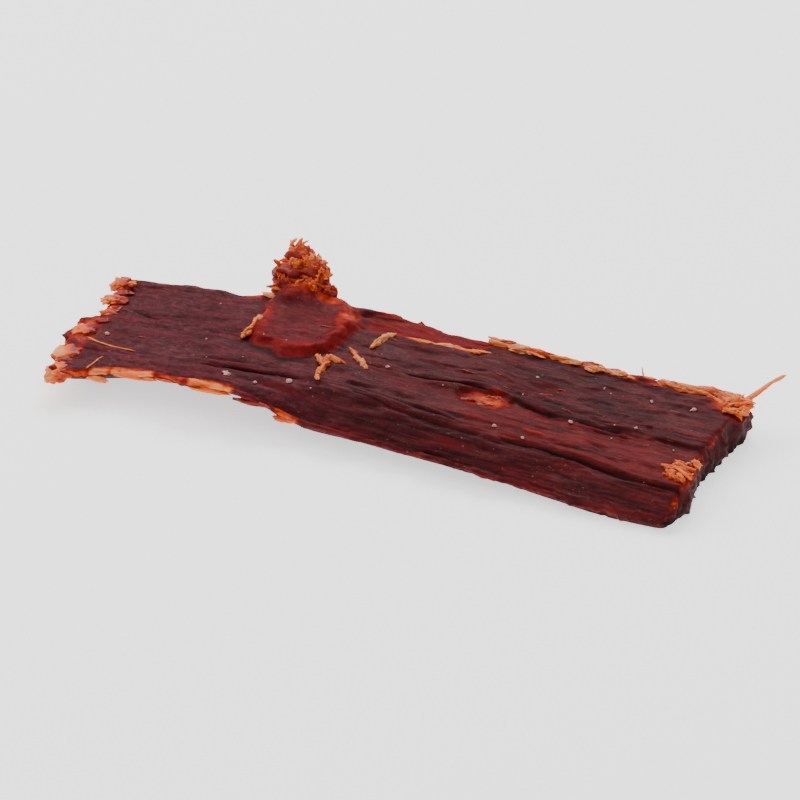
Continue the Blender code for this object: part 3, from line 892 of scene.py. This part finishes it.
def dried_beef():
    material, tree, shader = new_material("air_dried_beef_crust")
    streaks = stretched_noise(tree, (8, 0.9, 0.9), 4.0, on_grain=True, distortion=0.3)
    red_streaks = stretched_noise(tree, (9, 1.2, 1.2), 3.0, 17.0, on_grain=True, distortion=0.3)
    lines = stretched_noise(tree, (7, 0.42, 0.6), 2.0, 31.0, on_grain=True)
    hairs = stretched_noise(tree, (4, 0.24, 0.3), 3.0, 3.0, on_grain=True)
    blotches = stretched_noise(tree, (8, 4, 4), 3.0, 7.0)
    clouds = stretched_noise(tree, (3.2, 1.8, 1.8), 3.0, 13.0)
    mottle = stretched_noise(tree, (0.8, 0.5, 0.5), 4.0, 23.0)
    specks = stretched_noise(tree, (0.5, 0.4, 0.4), 1.0, 11.0)
    depth = stain_and_painted_light(tree, "depth")
    streaky = mix_colours(tree, 0.4, streaks, mix_colours(tree, 0.4, hairs, mottle))
    mottled = mix_colours(tree, 0.5, mix_colours(tree, 0.35, clouds, streaks), mottle)
    grain = mix_colours(tree, ramp(tree, depth, [(0.05, grey(0.25)), (0.45, grey(1.0))]), mottled, streaky)
    mauve = ramp(tree, grain, [(0.34, CRUST_DARK), (0.50, CRUST_MIDDLE), (0.66, CRUST_LIGHT)])
    brown = ramp(tree, grain, [(0.33, CRUST_BROWN_DARK), (0.50, CRUST_BROWN), (0.68, CRUST_BROWN_LIGHT)])
    # Browner to the right by the crust's own tone, and on the near band and sides as painted shade.
    browned = calculate(tree, "ADD", depth, blotches)
    crust = mix_colours(tree, ramp(tree, browned, [(0.35, grey(0.0)), (1.25, grey(1.0))]), mauve, brown)
    red = ramp(tree, red_streaks, [(0.48, grey(0.0)), (0.68, grey(0.42))])
    crust = mix_colours(tree, red, crust, STREAK_RED)
    lined = calculate(tree, "MULTIPLY", ramp(tree, lines, [(0.32, grey(0.75)), (0.41, grey(0.0))]), depth)
    crust = mix_colours(tree, lined, crust, LINE_BLACK)
    glints = ramp(tree, specks, [(0.70, grey(0.0)), (0.78, grey(0.35))])
    crust = mix_colours(tree, glints, crust, GLINT)
    flesh = ramp(tree, grain, [(0.30, FLESH_DARK), (0.70, FLESH_LIGHT)])
    crust = mix_colours(tree, stain_and_painted_light(tree, "flesh"), crust, flesh)
    # Painted glow and highlights where light comes through or catches the thin edges.
    rim = mottled_colour(tree, stain_and_painted_light(tree, "rim"), mottle, RIM_GLOW_COLOURS)
    rim_glow_share = ramp(tree, stain_and_painted_light(tree, "rim"), [(0.08, grey(0.0)), (0.30, grey(1.0))])
    crust = mix_colours(tree, rim_glow_share, crust, rim)
    # Painted shade: darkens the splits, the valleys, the hidden sides and under the leaf's near edge.
    crust = mix_colours(tree, stain_and_painted_light(tree, "shade"), crust, PAINTED_SHADE_BLACK)
    feed(tree, shader, (
        ("Base Color", crust), ("Roughness", ramp(tree, blotches, [(0.3, grey(0.45)), (0.7, grey(0.62))])),
        ("Specular IOR Level", SPECULAR_LEVEL), ("Subsurface Weight", 0.12),
        ("Subsurface Radius", (1.0, 0.2, 0.1)), ("Subsurface Scale", 0.8 * MM),
    ))
    add_bump(tree, shader, mix_colours(tree, 0.4, grain, mottle), 0.75, 0.3)
    return material


body.data.materials.clear()
body.data.materials.append(dried_beef())
body.data.shade_smooth()
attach(body, "root")
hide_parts(NODE)
print("body material:", body.data.materials[0].name)

# %% [markdown]
# ## Crumbs and fibres
#
# What stands out from the strip is of two kinds: rounded crumbs and torn tips, and thin fibres that came
# loose. One ball and one straight fibre are modelled. Every small piece is a copy with its own mesh, and
# code moves its points: a crumb's in and out by noise, a fibre's on to a bent course, thick at its root
# and thin at its tip.

# %% A ball and a fibre to copy
BALL_DETAIL = 4
FIBRE_SIDES = 8
FIBRE_RINGS = 14

deselect_everything()
bpy.ops.mesh.primitive_ico_sphere_add(subdivisions=BALL_DETAIL, radius=1.0)
ball_master = bpy.context.active_object
ball_master.name = "ball_master"
deselect_everything()
bpy.ops.mesh.primitive_cylinder_add(vertices=FIBRE_SIDES, radius=1.0, depth=1.0, end_fill_type="TRIFAN")
fibre_master = bpy.context.active_object
fibre_master.name = "fibre_master"
subdivide_along(fibre_master, 2, FIBRE_RINGS)
print("points of the masters:", len(ball_master.data.vertices), len(fibre_master.data.vertices))

# %% Copies of them
UP = Vector((0, 0, 1))


def copy_of(master, points, tones):
    """A copy of a master with its own mesh, with its points in mm of the plan and a tone on each."""
    piece = bpy.data.objects.new("copy", master.data.copy())
    bpy.context.scene.collection.objects.link(piece)
    for vertex, point in zip(piece.data.vertices, points):
        vertex.co = (point - PLAN_MIDDLE) * MM
    store_value(piece, "tone", tones)
    return piece


def crumb(place, size, turns, raggedness, tones, seed, lit_side=UP):
    """A ragged lump: size in mm, turns in degrees, tones, and the lit side, painted in the second tone."""
    turn = Euler([math.radians(value) for value in turns]).to_matrix()
    shift = Vector((seed * 7.3, seed * 3.1, seed * 5.7))
    points, values = [], []
    for vertex in ball_master.data.vertices:
        way = vertex.co
        bumps = noise.noise(way * 1.7 + shift) + 0.45 * noise.noise(way * 4.5 + shift)
        half = Vector(size) * (0.5 + 0.5 * raggedness * bumps)
        points.append(Vector(place) + turn @ Vector((way.x * half.x, way.y * half.y, way.z * half.z)))
        # Painted light: the side towards lit_side takes the second, lighter tone.
        values.append(mix(tones[0], tones[1], ease(-0.4, 0.8, way.dot(lit_side))) + 0.25 * bumps * raggedness)
    return copy_of(ball_master, points, values)


def course_through(path):
    """A function from a share of a path, from 0 to 1, to the place there on a smooth course."""
    steps = [number / (len(path) - 1) for number in range(len(path))]
    lines = [smooth_line([(step, place[axis]) for step, place in zip(steps, path)]) for axis in range(3)]
    return lambda share: Vector([line(share) for line in lines])


def fibre(path, radius, tones, flat=0.75, taper=0.7):
    """A bent fibre through places in mm, with its tones at its root and its tip."""
    place_at = course_through(path)
    points, values = [], []
    for vertex in fibre_master.data.vertices:
        share = vertex.co.z + 0.5
        ahead = (place_at(min(share + 0.04, 1.0)) - place_at(max(share - 0.04, 0.0))).normalized()
        side = ahead.cross(UP)
        side = side.normalized() if side.length > 0.05 else Vector((0, 1, 0))
        knobs = 1 + 0.35 * noise.noise(Vector((share * 5, path[0][0], path[0][1])))
        knobs += 0.6 * noise.noise(Vector((share * 7, vertex.co.x * 1.4, vertex.co.y * 1.4 + path[0][0])))
        closed = math.sqrt(ease(-0.01, 0.1, share) * ease(-0.01, 0.1, 1 - share))
        thick = radius * knobs * (1 - taper * share) * closed
        across = side * (vertex.co.x * thick) + ahead.cross(side) * (vertex.co.y * thick * flat)
        points.append(place_at(share) + across)
        values.append(mix(tones[0], tones[1], share))
    return copy_of(fibre_master, points, values)


def join_as(name, pieces, material):
    """Joins copies into one piece that is worn by the part."""
    deselect_everything()
    for piece in pieces:
        piece.select_set(True)
    bpy.context.view_layer.objects.active = pieces[0]
    bpy.ops.object.join()
    whole = bpy.context.active_object
    whole.name = name
    whole.data.materials.clear()
    whole.data.materials.append(material)
    whole.data.shade_smooth()
    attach(whole, "root")
    print(name, "from", len(pieces), "copies, faces:", len(whole.data.polygons))
    return whole


def weighted_choice(draw, rows):
    """One of the rows, at random, by the weight that each row ends with."""
    return draw.choices(rows, weights=[row[-1] for row in rows])[0]


def on_top(x, y, above):
    """A place this much above the strip's top."""
    return (x, y, surface_height(x, y) + above)


# %% [markdown]
# ## Torn meat and glint grains
#
# A torn end has no dark crust yet. It is dried muscle and a little fat, so thin that light glows through
# it: deep red where it is thick, orange where it is thin, pale tan where fat dried on it. One number on
# each point, its tone, picks the colour on that scale. Small pale grains on the crust stand in for its
# tiny glints of light: they are painted highlights.

# %% Two materials
# The orange tones paint the glow of light through thin meat; the deep red and the pale tan are its own
# colours.
TORN_COLOURS = (
    (0.0, "#5a0a08"), (0.22, "#8e1c10"), (0.42, "#bc3c12"), (0.62, "#e66418"), (0.82, "#ea7c38"),
    (1.0, "#e8a06c"),
)
# Painted highlights: pale grains that stand in for small glints of light on the crust.
GLINT_GRAIN_COLOUR = srgb("#b88480")


def torn_meat():
    material, tree, shader = new_material("torn_dried_meat")
    mottle = stretched_noise(tree, (0.9, 0.6, 0.6), 3.0, 5.0)
    feed(tree, shader, (
        ("Base Color", mottled_colour(tree, stain_and_painted_light(tree, "tone"), mottle, TORN_COLOURS)),
        ("Roughness", 0.42), ("Specular IOR Level", 0.3), ("Subsurface Weight", 0.35),
        ("Subsurface Radius", (1.0, 0.4, 0.2)), ("Subsurface Scale", 0.9 * MM),
    ))
    add_bump(tree, shader, mottle, 0.5, 0.2)
    return material


def painted_glint_material():
    material, tree, shader = new_material("painted_glint_specks")
    feed(tree, shader, (
        ("Base Color", GLINT_GRAIN_COLOUR), ("Roughness", 0.5), ("Subsurface Weight", 0.4),
        ("Subsurface Radius", (1.0, 0.6, 0.5)), ("Subsurface Scale", 0.3 * MM),
    ))
    return material


torn = torn_meat()
glint_material = painted_glint_material()
print("materials:", torn.name, glint_material.name)

# %% [markdown]
# ## Torn tips of the left end
#
# The left end was torn across its bundles. Each bundle ends in a small rounded tip, pale and swollen at
# the near side and redder at the far side. The tips overlap the body's end, so they read as one torn
# line. Their outer side is the paler one, because light comes through the thin ends.

# %% Left tips: place, size, tone of the inner and of the outer side
LEFT_TIPS = (
    ((-43.8, -14.5, 3.5), (4.0, 4.2, 2.0), (0.42, 0.80)),
    ((-44.6, -15.6, 3.0), (1.8, 1.7, 1.3), (0.50, 0.90)),
    ((-44.2, -10.2, 3.9), (3.8, 3.4, 1.5), (0.22, 0.94)),
    ((-43.6, -12.2, 3.9), (2.4, 1.6, 1.0), (0.08, 0.30)),
    ((-43.0, -7.2, 4.1), (2.8, 1.2, 0.9), (0.06, 0.22)),
    ((-43.6, -4.7, 4.1), (3.6, 2.6, 1.4), (0.16, 0.72)),
    ((-44.1, -4.0, 4.0), (1.8, 1.3, 1.0), (0.30, 0.90)),
    ((-42.0, -1.8, 4.2), (2.4, 1.2, 0.8), (0.06, 0.20)),
    ((-41.8, 0.3, 4.3), (3.0, 1.3, 0.8), (0.16, 0.50)),
    ((-42.3, 3.3, 4.5), (3.8, 1.8, 1.2), (0.28, 0.76)),
    ((-43.2, 2.6, 4.4), (1.6, 1.1, 0.9), (0.40, 0.84)),
    ((-41.6, 5.0, 4.6), (2.6, 1.3, 0.8), (0.06, 0.26)),
    ((-42.4, 6.9, 4.8), (3.4, 2.4, 1.7), (0.28, 0.60)),
    ((-43.2, 6.1, 4.7), (1.8, 1.4, 1.1), (0.40, 0.70)),
    ((-40.9, 6.8, 5.3), (1.2, 0.8, 0.6), (0.60, 0.88)),
)
TIP_RAGGEDNESS = 0.42
OUTWARD = Vector((-0.9, -0.3, 0.3)).normalized()
left_tips = [
    crumb(place, size, (0, -8, 8 * (number % 3 - 1)), TIP_RAGGEDNESS, tones, number + 1, OUTWARD)
    for number, (place, size, tones) in enumerate(LEFT_TIPS)
]
join_as("left_tips", left_tips, torn)

# %% [markdown]
# ## The crumbly end of the leaf
#
# The torn leaf's far end is turned up and has crumbled. Random crumbs on a few overlapping ovals give its
# mass, red low down where it is joined to the leaf and tan above, and short curled fibres stand out from
# it.

# %% Leaf crumbs: each oval's middle, its size and the weight of its crumbs
TAB_OVALS = (
    ((-16.4, 10.0, 7.8), (8.4, 3.0, 4.0), 5),
    ((-17.0, 11.2, 9.5), (6.8, 3.0, 4.6), 6),
    ((-17.6, 12.3, 11.3), (3.6, 2.4, 3.2), 3),
    ((-15.2, 11.8, 10.2), (3.0, 2.0, 2.8), 2),
)
TAB_TILT = -38
TAB_CRUMBS = 84
TAB_CURLS = 36
TAB_HORNS = (
    ((-18.6, 12.4, 11.8), (-19.2, 12.9, 12.8), (-18.5, 13.3, 13.7)),
    ((-17.3, 12.5, 12.0), (-17.6, 13.1, 13.0), (-16.9, 13.4, 13.6)),
)
TAB_SEED = 5


def oval_surface_place(draw):
    """A random place on one of the tab's ovals."""
    place, size, _ = weighted_choice(draw, TAB_OVALS)
    way = Vector((draw.gauss(0, 1), draw.gauss(0, 1), draw.gauss(0, 1))).normalized()
    tilt = Euler((math.radians(TAB_TILT), 0, 0)).to_matrix()
    half = Vector((way.x * size[0], way.y * size[1], way.z * size[2])) / 2
    return Vector(place) + tilt @ half


draw = random.Random(TAB_SEED)
# Painted light: every crumb here takes its lighter second tone on top.
tab_pieces = [
    crumb(place, size, (TAB_TILT, 0, 0), 0.6, (0.10, 0.38), number + 20)
    for number, (place, size, _) in enumerate(TAB_OVALS)
]
for number in range(TAB_CRUMBS):
    place = oval_surface_place(draw)
    size = (draw.uniform(0.8, 2.3), draw.uniform(0.5, 1.5), draw.uniform(0.5, 1.2))
    tone = mix(0.10, 0.52, ease(6.0, 12.0, place.z)) + draw.uniform(-0.12, 0.20)
    turns = [draw.uniform(0, 180) for _ in range(3)]
    tab_pieces.append(crumb(place, size, turns, 0.5, (tone, tone + 0.14), number + 40))
for _ in range(TAB_CURLS):
    root = oval_surface_place(draw)
    out = Vector((draw.uniform(-0.7, 0.7), draw.uniform(-0.8, 0.6), draw.uniform(0.0, 1.0))).normalized()
    bend = Vector((draw.uniform(-0.8, 0.8), draw.uniform(-0.5, 0.5), draw.uniform(-0.6, 0.3)))
    length = draw.uniform(0.7, 1.7)
    path = (root - out * 0.8, root + out * length * 0.4, root + (out + bend * 1.1) * length)
    tone = mix(0.25, 0.7, ease(6.0, 12.0, root.z)) + draw.uniform(-0.1, 0.2)
    tab_pieces.append(fibre(path, draw.uniform(0.24, 0.46), (tone - 0.1, tone), taper=0.45))
for horn in TAB_HORNS:
    tab_pieces.append(fibre(horn, 0.42, (0.5, 0.84), taper=0.5))
join_as("leaf_crumbs", tab_pieces, torn)

# %% [markdown]
# ## Tufts of the right end
#
# The right end was pulled apart, so fibres stand out of the far corner and of the near bands in bright
# orange tufts. Each tuft is a few crumbs at its root, and bent fibres that fan out of it. Longer fibres
# run into the two largest tufts along the top, and one loose thread leaves the far corner.

# %% Right tufts: middle, spread, crumbs, fibres, length
RIGHT_TUFTS = (
    ((48.0, 5.4, 5.1), (1.6, 2.0, 0.6), 22, 26, 1.6),
    ((45.3, -11.6, 4.8), (1.3, 1.8, 0.5), 14, 22, 1.2),
    ((46.3, -8.6, 4.6), (0.5, 1.0, 0.3), 2, 6, 1.2),
    ((46.6, -2.4, 4.2), (0.4, 2.2, 0.5), 0, 5, 0.9),
    ((45.4, -15.6, 2.8), (0.4, 1.0, 0.8), 0, 4, 0.9),
)
TUFT_SEED = 8
LOOSE_THREAD = ((48.2, 6.2, 4.9), (49.8, 8.4, 5.6), (51.4, 10.6, 6.4), (53.4, 11.9, 7.5))

# Long fibres that run into a tuft along the top: number, where they start, and where they end.
RUN_INS = (
    (9, (38.5, 42.0), (7.4, 8.4), (47.6, 6.8)),
    (13, (42.0, 46.0), (6.2, 8.4), (48.4, 5.6)),
    (6, (42.0, 44.5), (-12.6, -9.8), (46.2, -11.8)),
)
RUN_IN_HEIGHT = 5.0

draw = random.Random(TUFT_SEED)
tuft_pieces = []
for middle, spread, crumbs, fibres, length in RIGHT_TUFTS:
    for number in range(crumbs):
        place = [value + draw.uniform(-1, 1) * reach for value, reach in zip(middle, spread)]
        size = [draw.uniform(1.0, 2.6), draw.uniform(0.5, 1.1), draw.uniform(0.4, 0.8)]
        tone = draw.choice((0.36, 0.56, 0.66, 0.74)) + draw.uniform(-0.08, 0.06)
        turns = [draw.uniform(-40, 40) for _ in range(3)]
        tuft_pieces.append(crumb(place, size, turns, 0.55, (tone, tone + 0.12), number + 120))
    for _ in range(fibres):
        root = Vector([value + draw.uniform(-1, 1) * reach for value, reach in zip(middle, spread)])
        out = Vector((1.0, draw.uniform(-0.8, 0.8), draw.uniform(-0.35, 0.6))).normalized()
        bend = Vector((0.0, draw.uniform(-0.5, 0.5), draw.uniform(-0.5, 0.3)))
        reach = length * draw.uniform(0.5, 1.0)
        path = (root - out * 0.8, root + out * reach * 0.5, root + (out + bend * 0.7) * reach)
        tones = (draw.uniform(0.46, 0.60), draw.uniform(0.60, 0.80))
        tuft_pieces.append(fibre(path, draw.uniform(0.18, 0.36), tones))
for count, along_range, across_range, (end_x, end_y) in RUN_INS:
    for _ in range(count):
        start = on_top(draw.uniform(*along_range), draw.uniform(*across_range), 0.0)
        end = (
            end_x + draw.uniform(-1.0, 1.4), end_y + draw.uniform(-1.8, 1.8),
            RUN_IN_HEIGHT + draw.uniform(-0.2, 0.3),
        )
        middle = [mix(a, b, 0.55) for a, b in zip(start, end)]
        middle[2] += draw.uniform(0.0, 0.3)
        tone = draw.uniform(0.42, 0.72)
        path = (start, middle, end)
        tuft_pieces.append(fibre(path, draw.uniform(0.18, 0.36), (tone, tone + 0.1), taper=0.2))
tuft_pieces.append(fibre(LOOSE_THREAD, 0.46, (0.66, 0.88), taper=0.3))
join_as("right_tufts", tuft_pieces, torn)

# %% [markdown]
# ## Flakes along the edges
#
# Where the slicing knife left the edge thin, the crust has lifted off in flakes: long ones along the near
# edge at the left, and a ragged line of small ones along the far edge at the right. A few more lie on the
# rim of the hollow beside the leaf.

# %% Edge flakes: place, size and tones at the near edge, and stretches with a weight at the far edge
NEAR_FLAKES = (
    ((-38.4, -14.1, 3.3), (3.4, 0.9, 0.9), (0.86, 0.74)),
    ((-33.8, -13.0, 4.1), (7.2, 0.9, 1.0), (0.60, 0.70)),
    ((-28.4, -12.9, 4.5), (3.8, 0.6, 0.6), (0.40, 0.52)),
    ((-22.3, -13.5, 4.6), (6.0, 0.8, 0.8), (0.76, 0.62)),
    ((-15.6, -13.8, 4.2), (5.4, 0.7, 0.8), (0.10, 0.20)),
    ((-10.6, -14.5, 3.0), (3.4, 0.8, 1.0), (0.52, 0.42)),
)
FAR_FLAKES = 78
FAR_FLAKE_RANGES = (
    (12.6, 17.6, 4), (18.0, 22.0, 2), (22.0, 30.0, 7), (30, 37, 2), (37, 47, 6), (-22.5, -19, 1),
)
INNER_FLAKES = 12
FLAKE_SEED = 21

draw = random.Random(FLAKE_SEED)
flakes = [
    crumb(place, size, (0, 0, draw.uniform(-6, 6)), 0.35, tones, number + 200)
    for number, (place, size, tones) in enumerate(NEAR_FLAKES)
]
for number in range(FAR_FLAKES):
    start, end, _ = weighted_choice(draw, FAR_FLAKE_RANGES)
    x = draw.uniform(start, end)
    y = far_edge(x) - draw.uniform(0.0, 1.4)
    size = (draw.uniform(1.2, 3.8), draw.uniform(0.5, 1.2), draw.uniform(0.3, 0.8))
    tone = draw.choice((0.30, 0.55, 0.66, 0.78, 0.88)) + draw.uniform(-0.08, 0.08)
    turns = (draw.uniform(-25, 25), draw.uniform(-6, 6), draw.uniform(-14, 8))
    flakes.append(crumb(on_top(x, y, 0.0), size, turns, 0.35, (tone, tone), number + 220))
for number in range(INNER_FLAKES):
    x = draw.uniform(2.2, 11.5)
    size = (draw.uniform(1.4, 3.4), draw.uniform(0.4, 0.8), draw.uniform(0.25, 0.45))
    tone = draw.uniform(0.5, 0.82)
    place = on_top(x, INNER_RIM(x) + draw.uniform(-0.25, 0.25), 0.0)
    flakes.append(crumb(place, size, (0, 0, draw.uniform(-10, 10)), 0.4, (tone, tone), number + 300))
join_as("edge_flakes", flakes, torn)

# %% [markdown]
# ## Shreds and loose fibres on the top
#
# A few shreds of torn meat dried on to the crust, some of them forked, and hair-fine fibres lie along it.
# They are fibres laid on a line of places just above the top. The thicker ones get ragged scraps along
# them, because a bare fibre would look like a noodle.

# %% Shreds: line in plan, radius, tone at the root and the tip, height above the top
SHREDS = (
    (((-21.3, -2.3), (-20.7, 0.2), (-20.0, 2.2)), 0.42, (0.70, 0.80), 0.20),
    (((-20.9, -1.2), (-20.4, -0.2), (-20.2, 1.4)), 0.36, (0.74, 0.60), 0.25),
    (((-7.8, -9.4), (-8.0, -7.2), (-7.7, -5.4), (-8.1, -3.8)), 0.46, (0.62, 0.54), 0.25),
    (((-9.6, -4.2), (-8.8, -5.0), (-7.8, -6.2)), 0.40, (0.58, 0.56), 0.25),
    (((-8.2, -4.2), (-7.2, -3.9), (-6.2, -4.8)), 0.40, (0.56, 0.62), 0.28),
    (((-5.6, -1.3), (-4.2, -2.5), (-3.2, -3.6), (-1.9, -4.5)), 0.36, (0.56, 0.72), 0.16),
    (((-3.2, 0.0), (-2.2, 2.2), (-1.7, 4.2)), 0.42, (0.72, 0.84), 0.2),
    (((-2.9, 1.2), (-2.3, 2.6), (-1.2, 4.0)), 0.32, (0.66, 0.78), 0.2),
    (((-42.8, -6.3), (-40.6, -7.4), (-38.0, -8.1), (-34.6, -8.4)), 0.19, (0.70, 0.60), 0.02),
    (((-40.0, -13.9), (-39.4, -12.4), (-38.9, -10.9), (-37.8, -9.1)), 0.19, (0.64, 0.68), 0.04),
    (((-42.2, 1.4), (-41.2, 0.2), (-40.6, 1.9)), 0.2, (0.80, 0.70), 0.10),
    (((12.0, -5.8), (14.0, -5.2), (16.4, -5.5)), 0.44, (0.14, 0.40), -0.1),
    (((14.4, -6.2), (16.4, -5.6), (18.4, -4.9)), 0.36, (0.44, 0.16), -0.1),
    (((15.0, -4.4), (16.2, -4.2), (17.6, -4.3)), 0.30, (0.2, 0.34), -0.1),
)
FAR_FIBRE = ((34.3, 7.3, 5.0), (34.0, 7.9, 5.8), (33.7, 8.2, 6.9))
SHORT_HAIRS = 16
HAIR_SEED = 4
SCRAPS_PER_MM = 1.6
THINNEST_WITH_SCRAPS = 0.25

draw = random.Random(HAIR_SEED)
shreds = []
for line, radius, tones, above in SHREDS:
    path = [Vector(on_top(x, y, above)) for x, y in line]
    shreds.append(fibre(path, radius * 0.8, tones, taper=0.35))
    if radius < THINNEST_WITH_SCRAPS:
        continue
    length = (path[-1] - path[0]).length
    heading = math.degrees(math.atan2(path[-1].y - path[0].y, path[-1].x - path[0].x))
    place_at = course_through(path)
    for number in range(round(SCRAPS_PER_MM * length)):
        share = draw.uniform(0.05, 0.95)
        jitter = Vector((draw.uniform(-0.15, 0.15), draw.uniform(-0.15, 0.15), draw.uniform(-0.2, 0.05)))
        place = place_at(share) + jitter
        size = (draw.uniform(0.8, 2.0), draw.uniform(1.2, 2.4) * radius, draw.uniform(0.8, 1.6) * radius)
        tone = mix(*tones, share) + draw.uniform(-0.15, 0.1)
        turns = (draw.uniform(-30, 30), draw.uniform(-15, 15), heading + draw.uniform(-25, 25))
        shreds.append(crumb(place, size, turns, 0.45, (tone, tone + 0.05), number + 500))
shreds.append(fibre(FAR_FIBRE, 0.2, (0.80, 0.90)))
for _ in range(SHORT_HAIRS):
    x = draw.uniform(-38, 46)
    y = mix(near_edge(x), far_edge(x), draw.uniform(0.15, 0.95))
    length = draw.uniform(0.8, 2.4)
    slope = draw.uniform(-0.3, 0.3)
    line = [(x + share * length, y + share * slope * length) for share in (0, 0.5, 1)]
    tones = (draw.uniform(0.05, 0.3), draw.uniform(0.15, 0.5))
    shreds.append(fibre([on_top(*place, 0.02) for place in line], draw.uniform(0.08, 0.14), tones))
join_as("top_shreds", shreds, torn)

# %% Glint grains, painted highlights: place in plan, size
GLINT_GRAINS = (
    (-20.3, -11.0, 1.1), (-11.4, -10.3, 0.8), (-16.0, -11.4, 0.5), (0.6, -3.4, 0.55), (18.7, -11.2, 0.6),
    (23.1, -12.4, 0.5), (28.1, -6.5, 0.65), (20.9, 1.0, 0.4), (42.9, 2.6, 0.75), (37.0, 2.2, 0.45),
    (36.9, -4.9, 0.5), (-40.2, -5.0, 0.65),
)
FINE_GRAINS = 22
GRAIN_SEED = 13

draw = random.Random(GRAIN_SEED)
grains = []
for number, (x, y, size) in enumerate(GLINT_GRAINS):
    shape = (size, size * 0.75, size * 0.6)
    grains.append(crumb(on_top(x, y, 0.1), shape, (0, 0, draw.uniform(-30, 30)), 0.5, (1, 1), number + 400))
for number in range(FINE_GRAINS):
    x = draw.uniform(-40, 47)
    y = mix(near_edge(x), far_edge(x), draw.uniform(0.1, 0.95))
    size = draw.uniform(0.14, 0.26)
    grains.append(crumb(on_top(x, y, 0.04), (size, size, size * 0.7), (0, 0, 0), 0.5, (1, 1), number + 430))
join_as("painted_glint_grains", grains, glint_material)
for master in (ball_master, fibre_master):
    bpy.data.objects.remove(master)
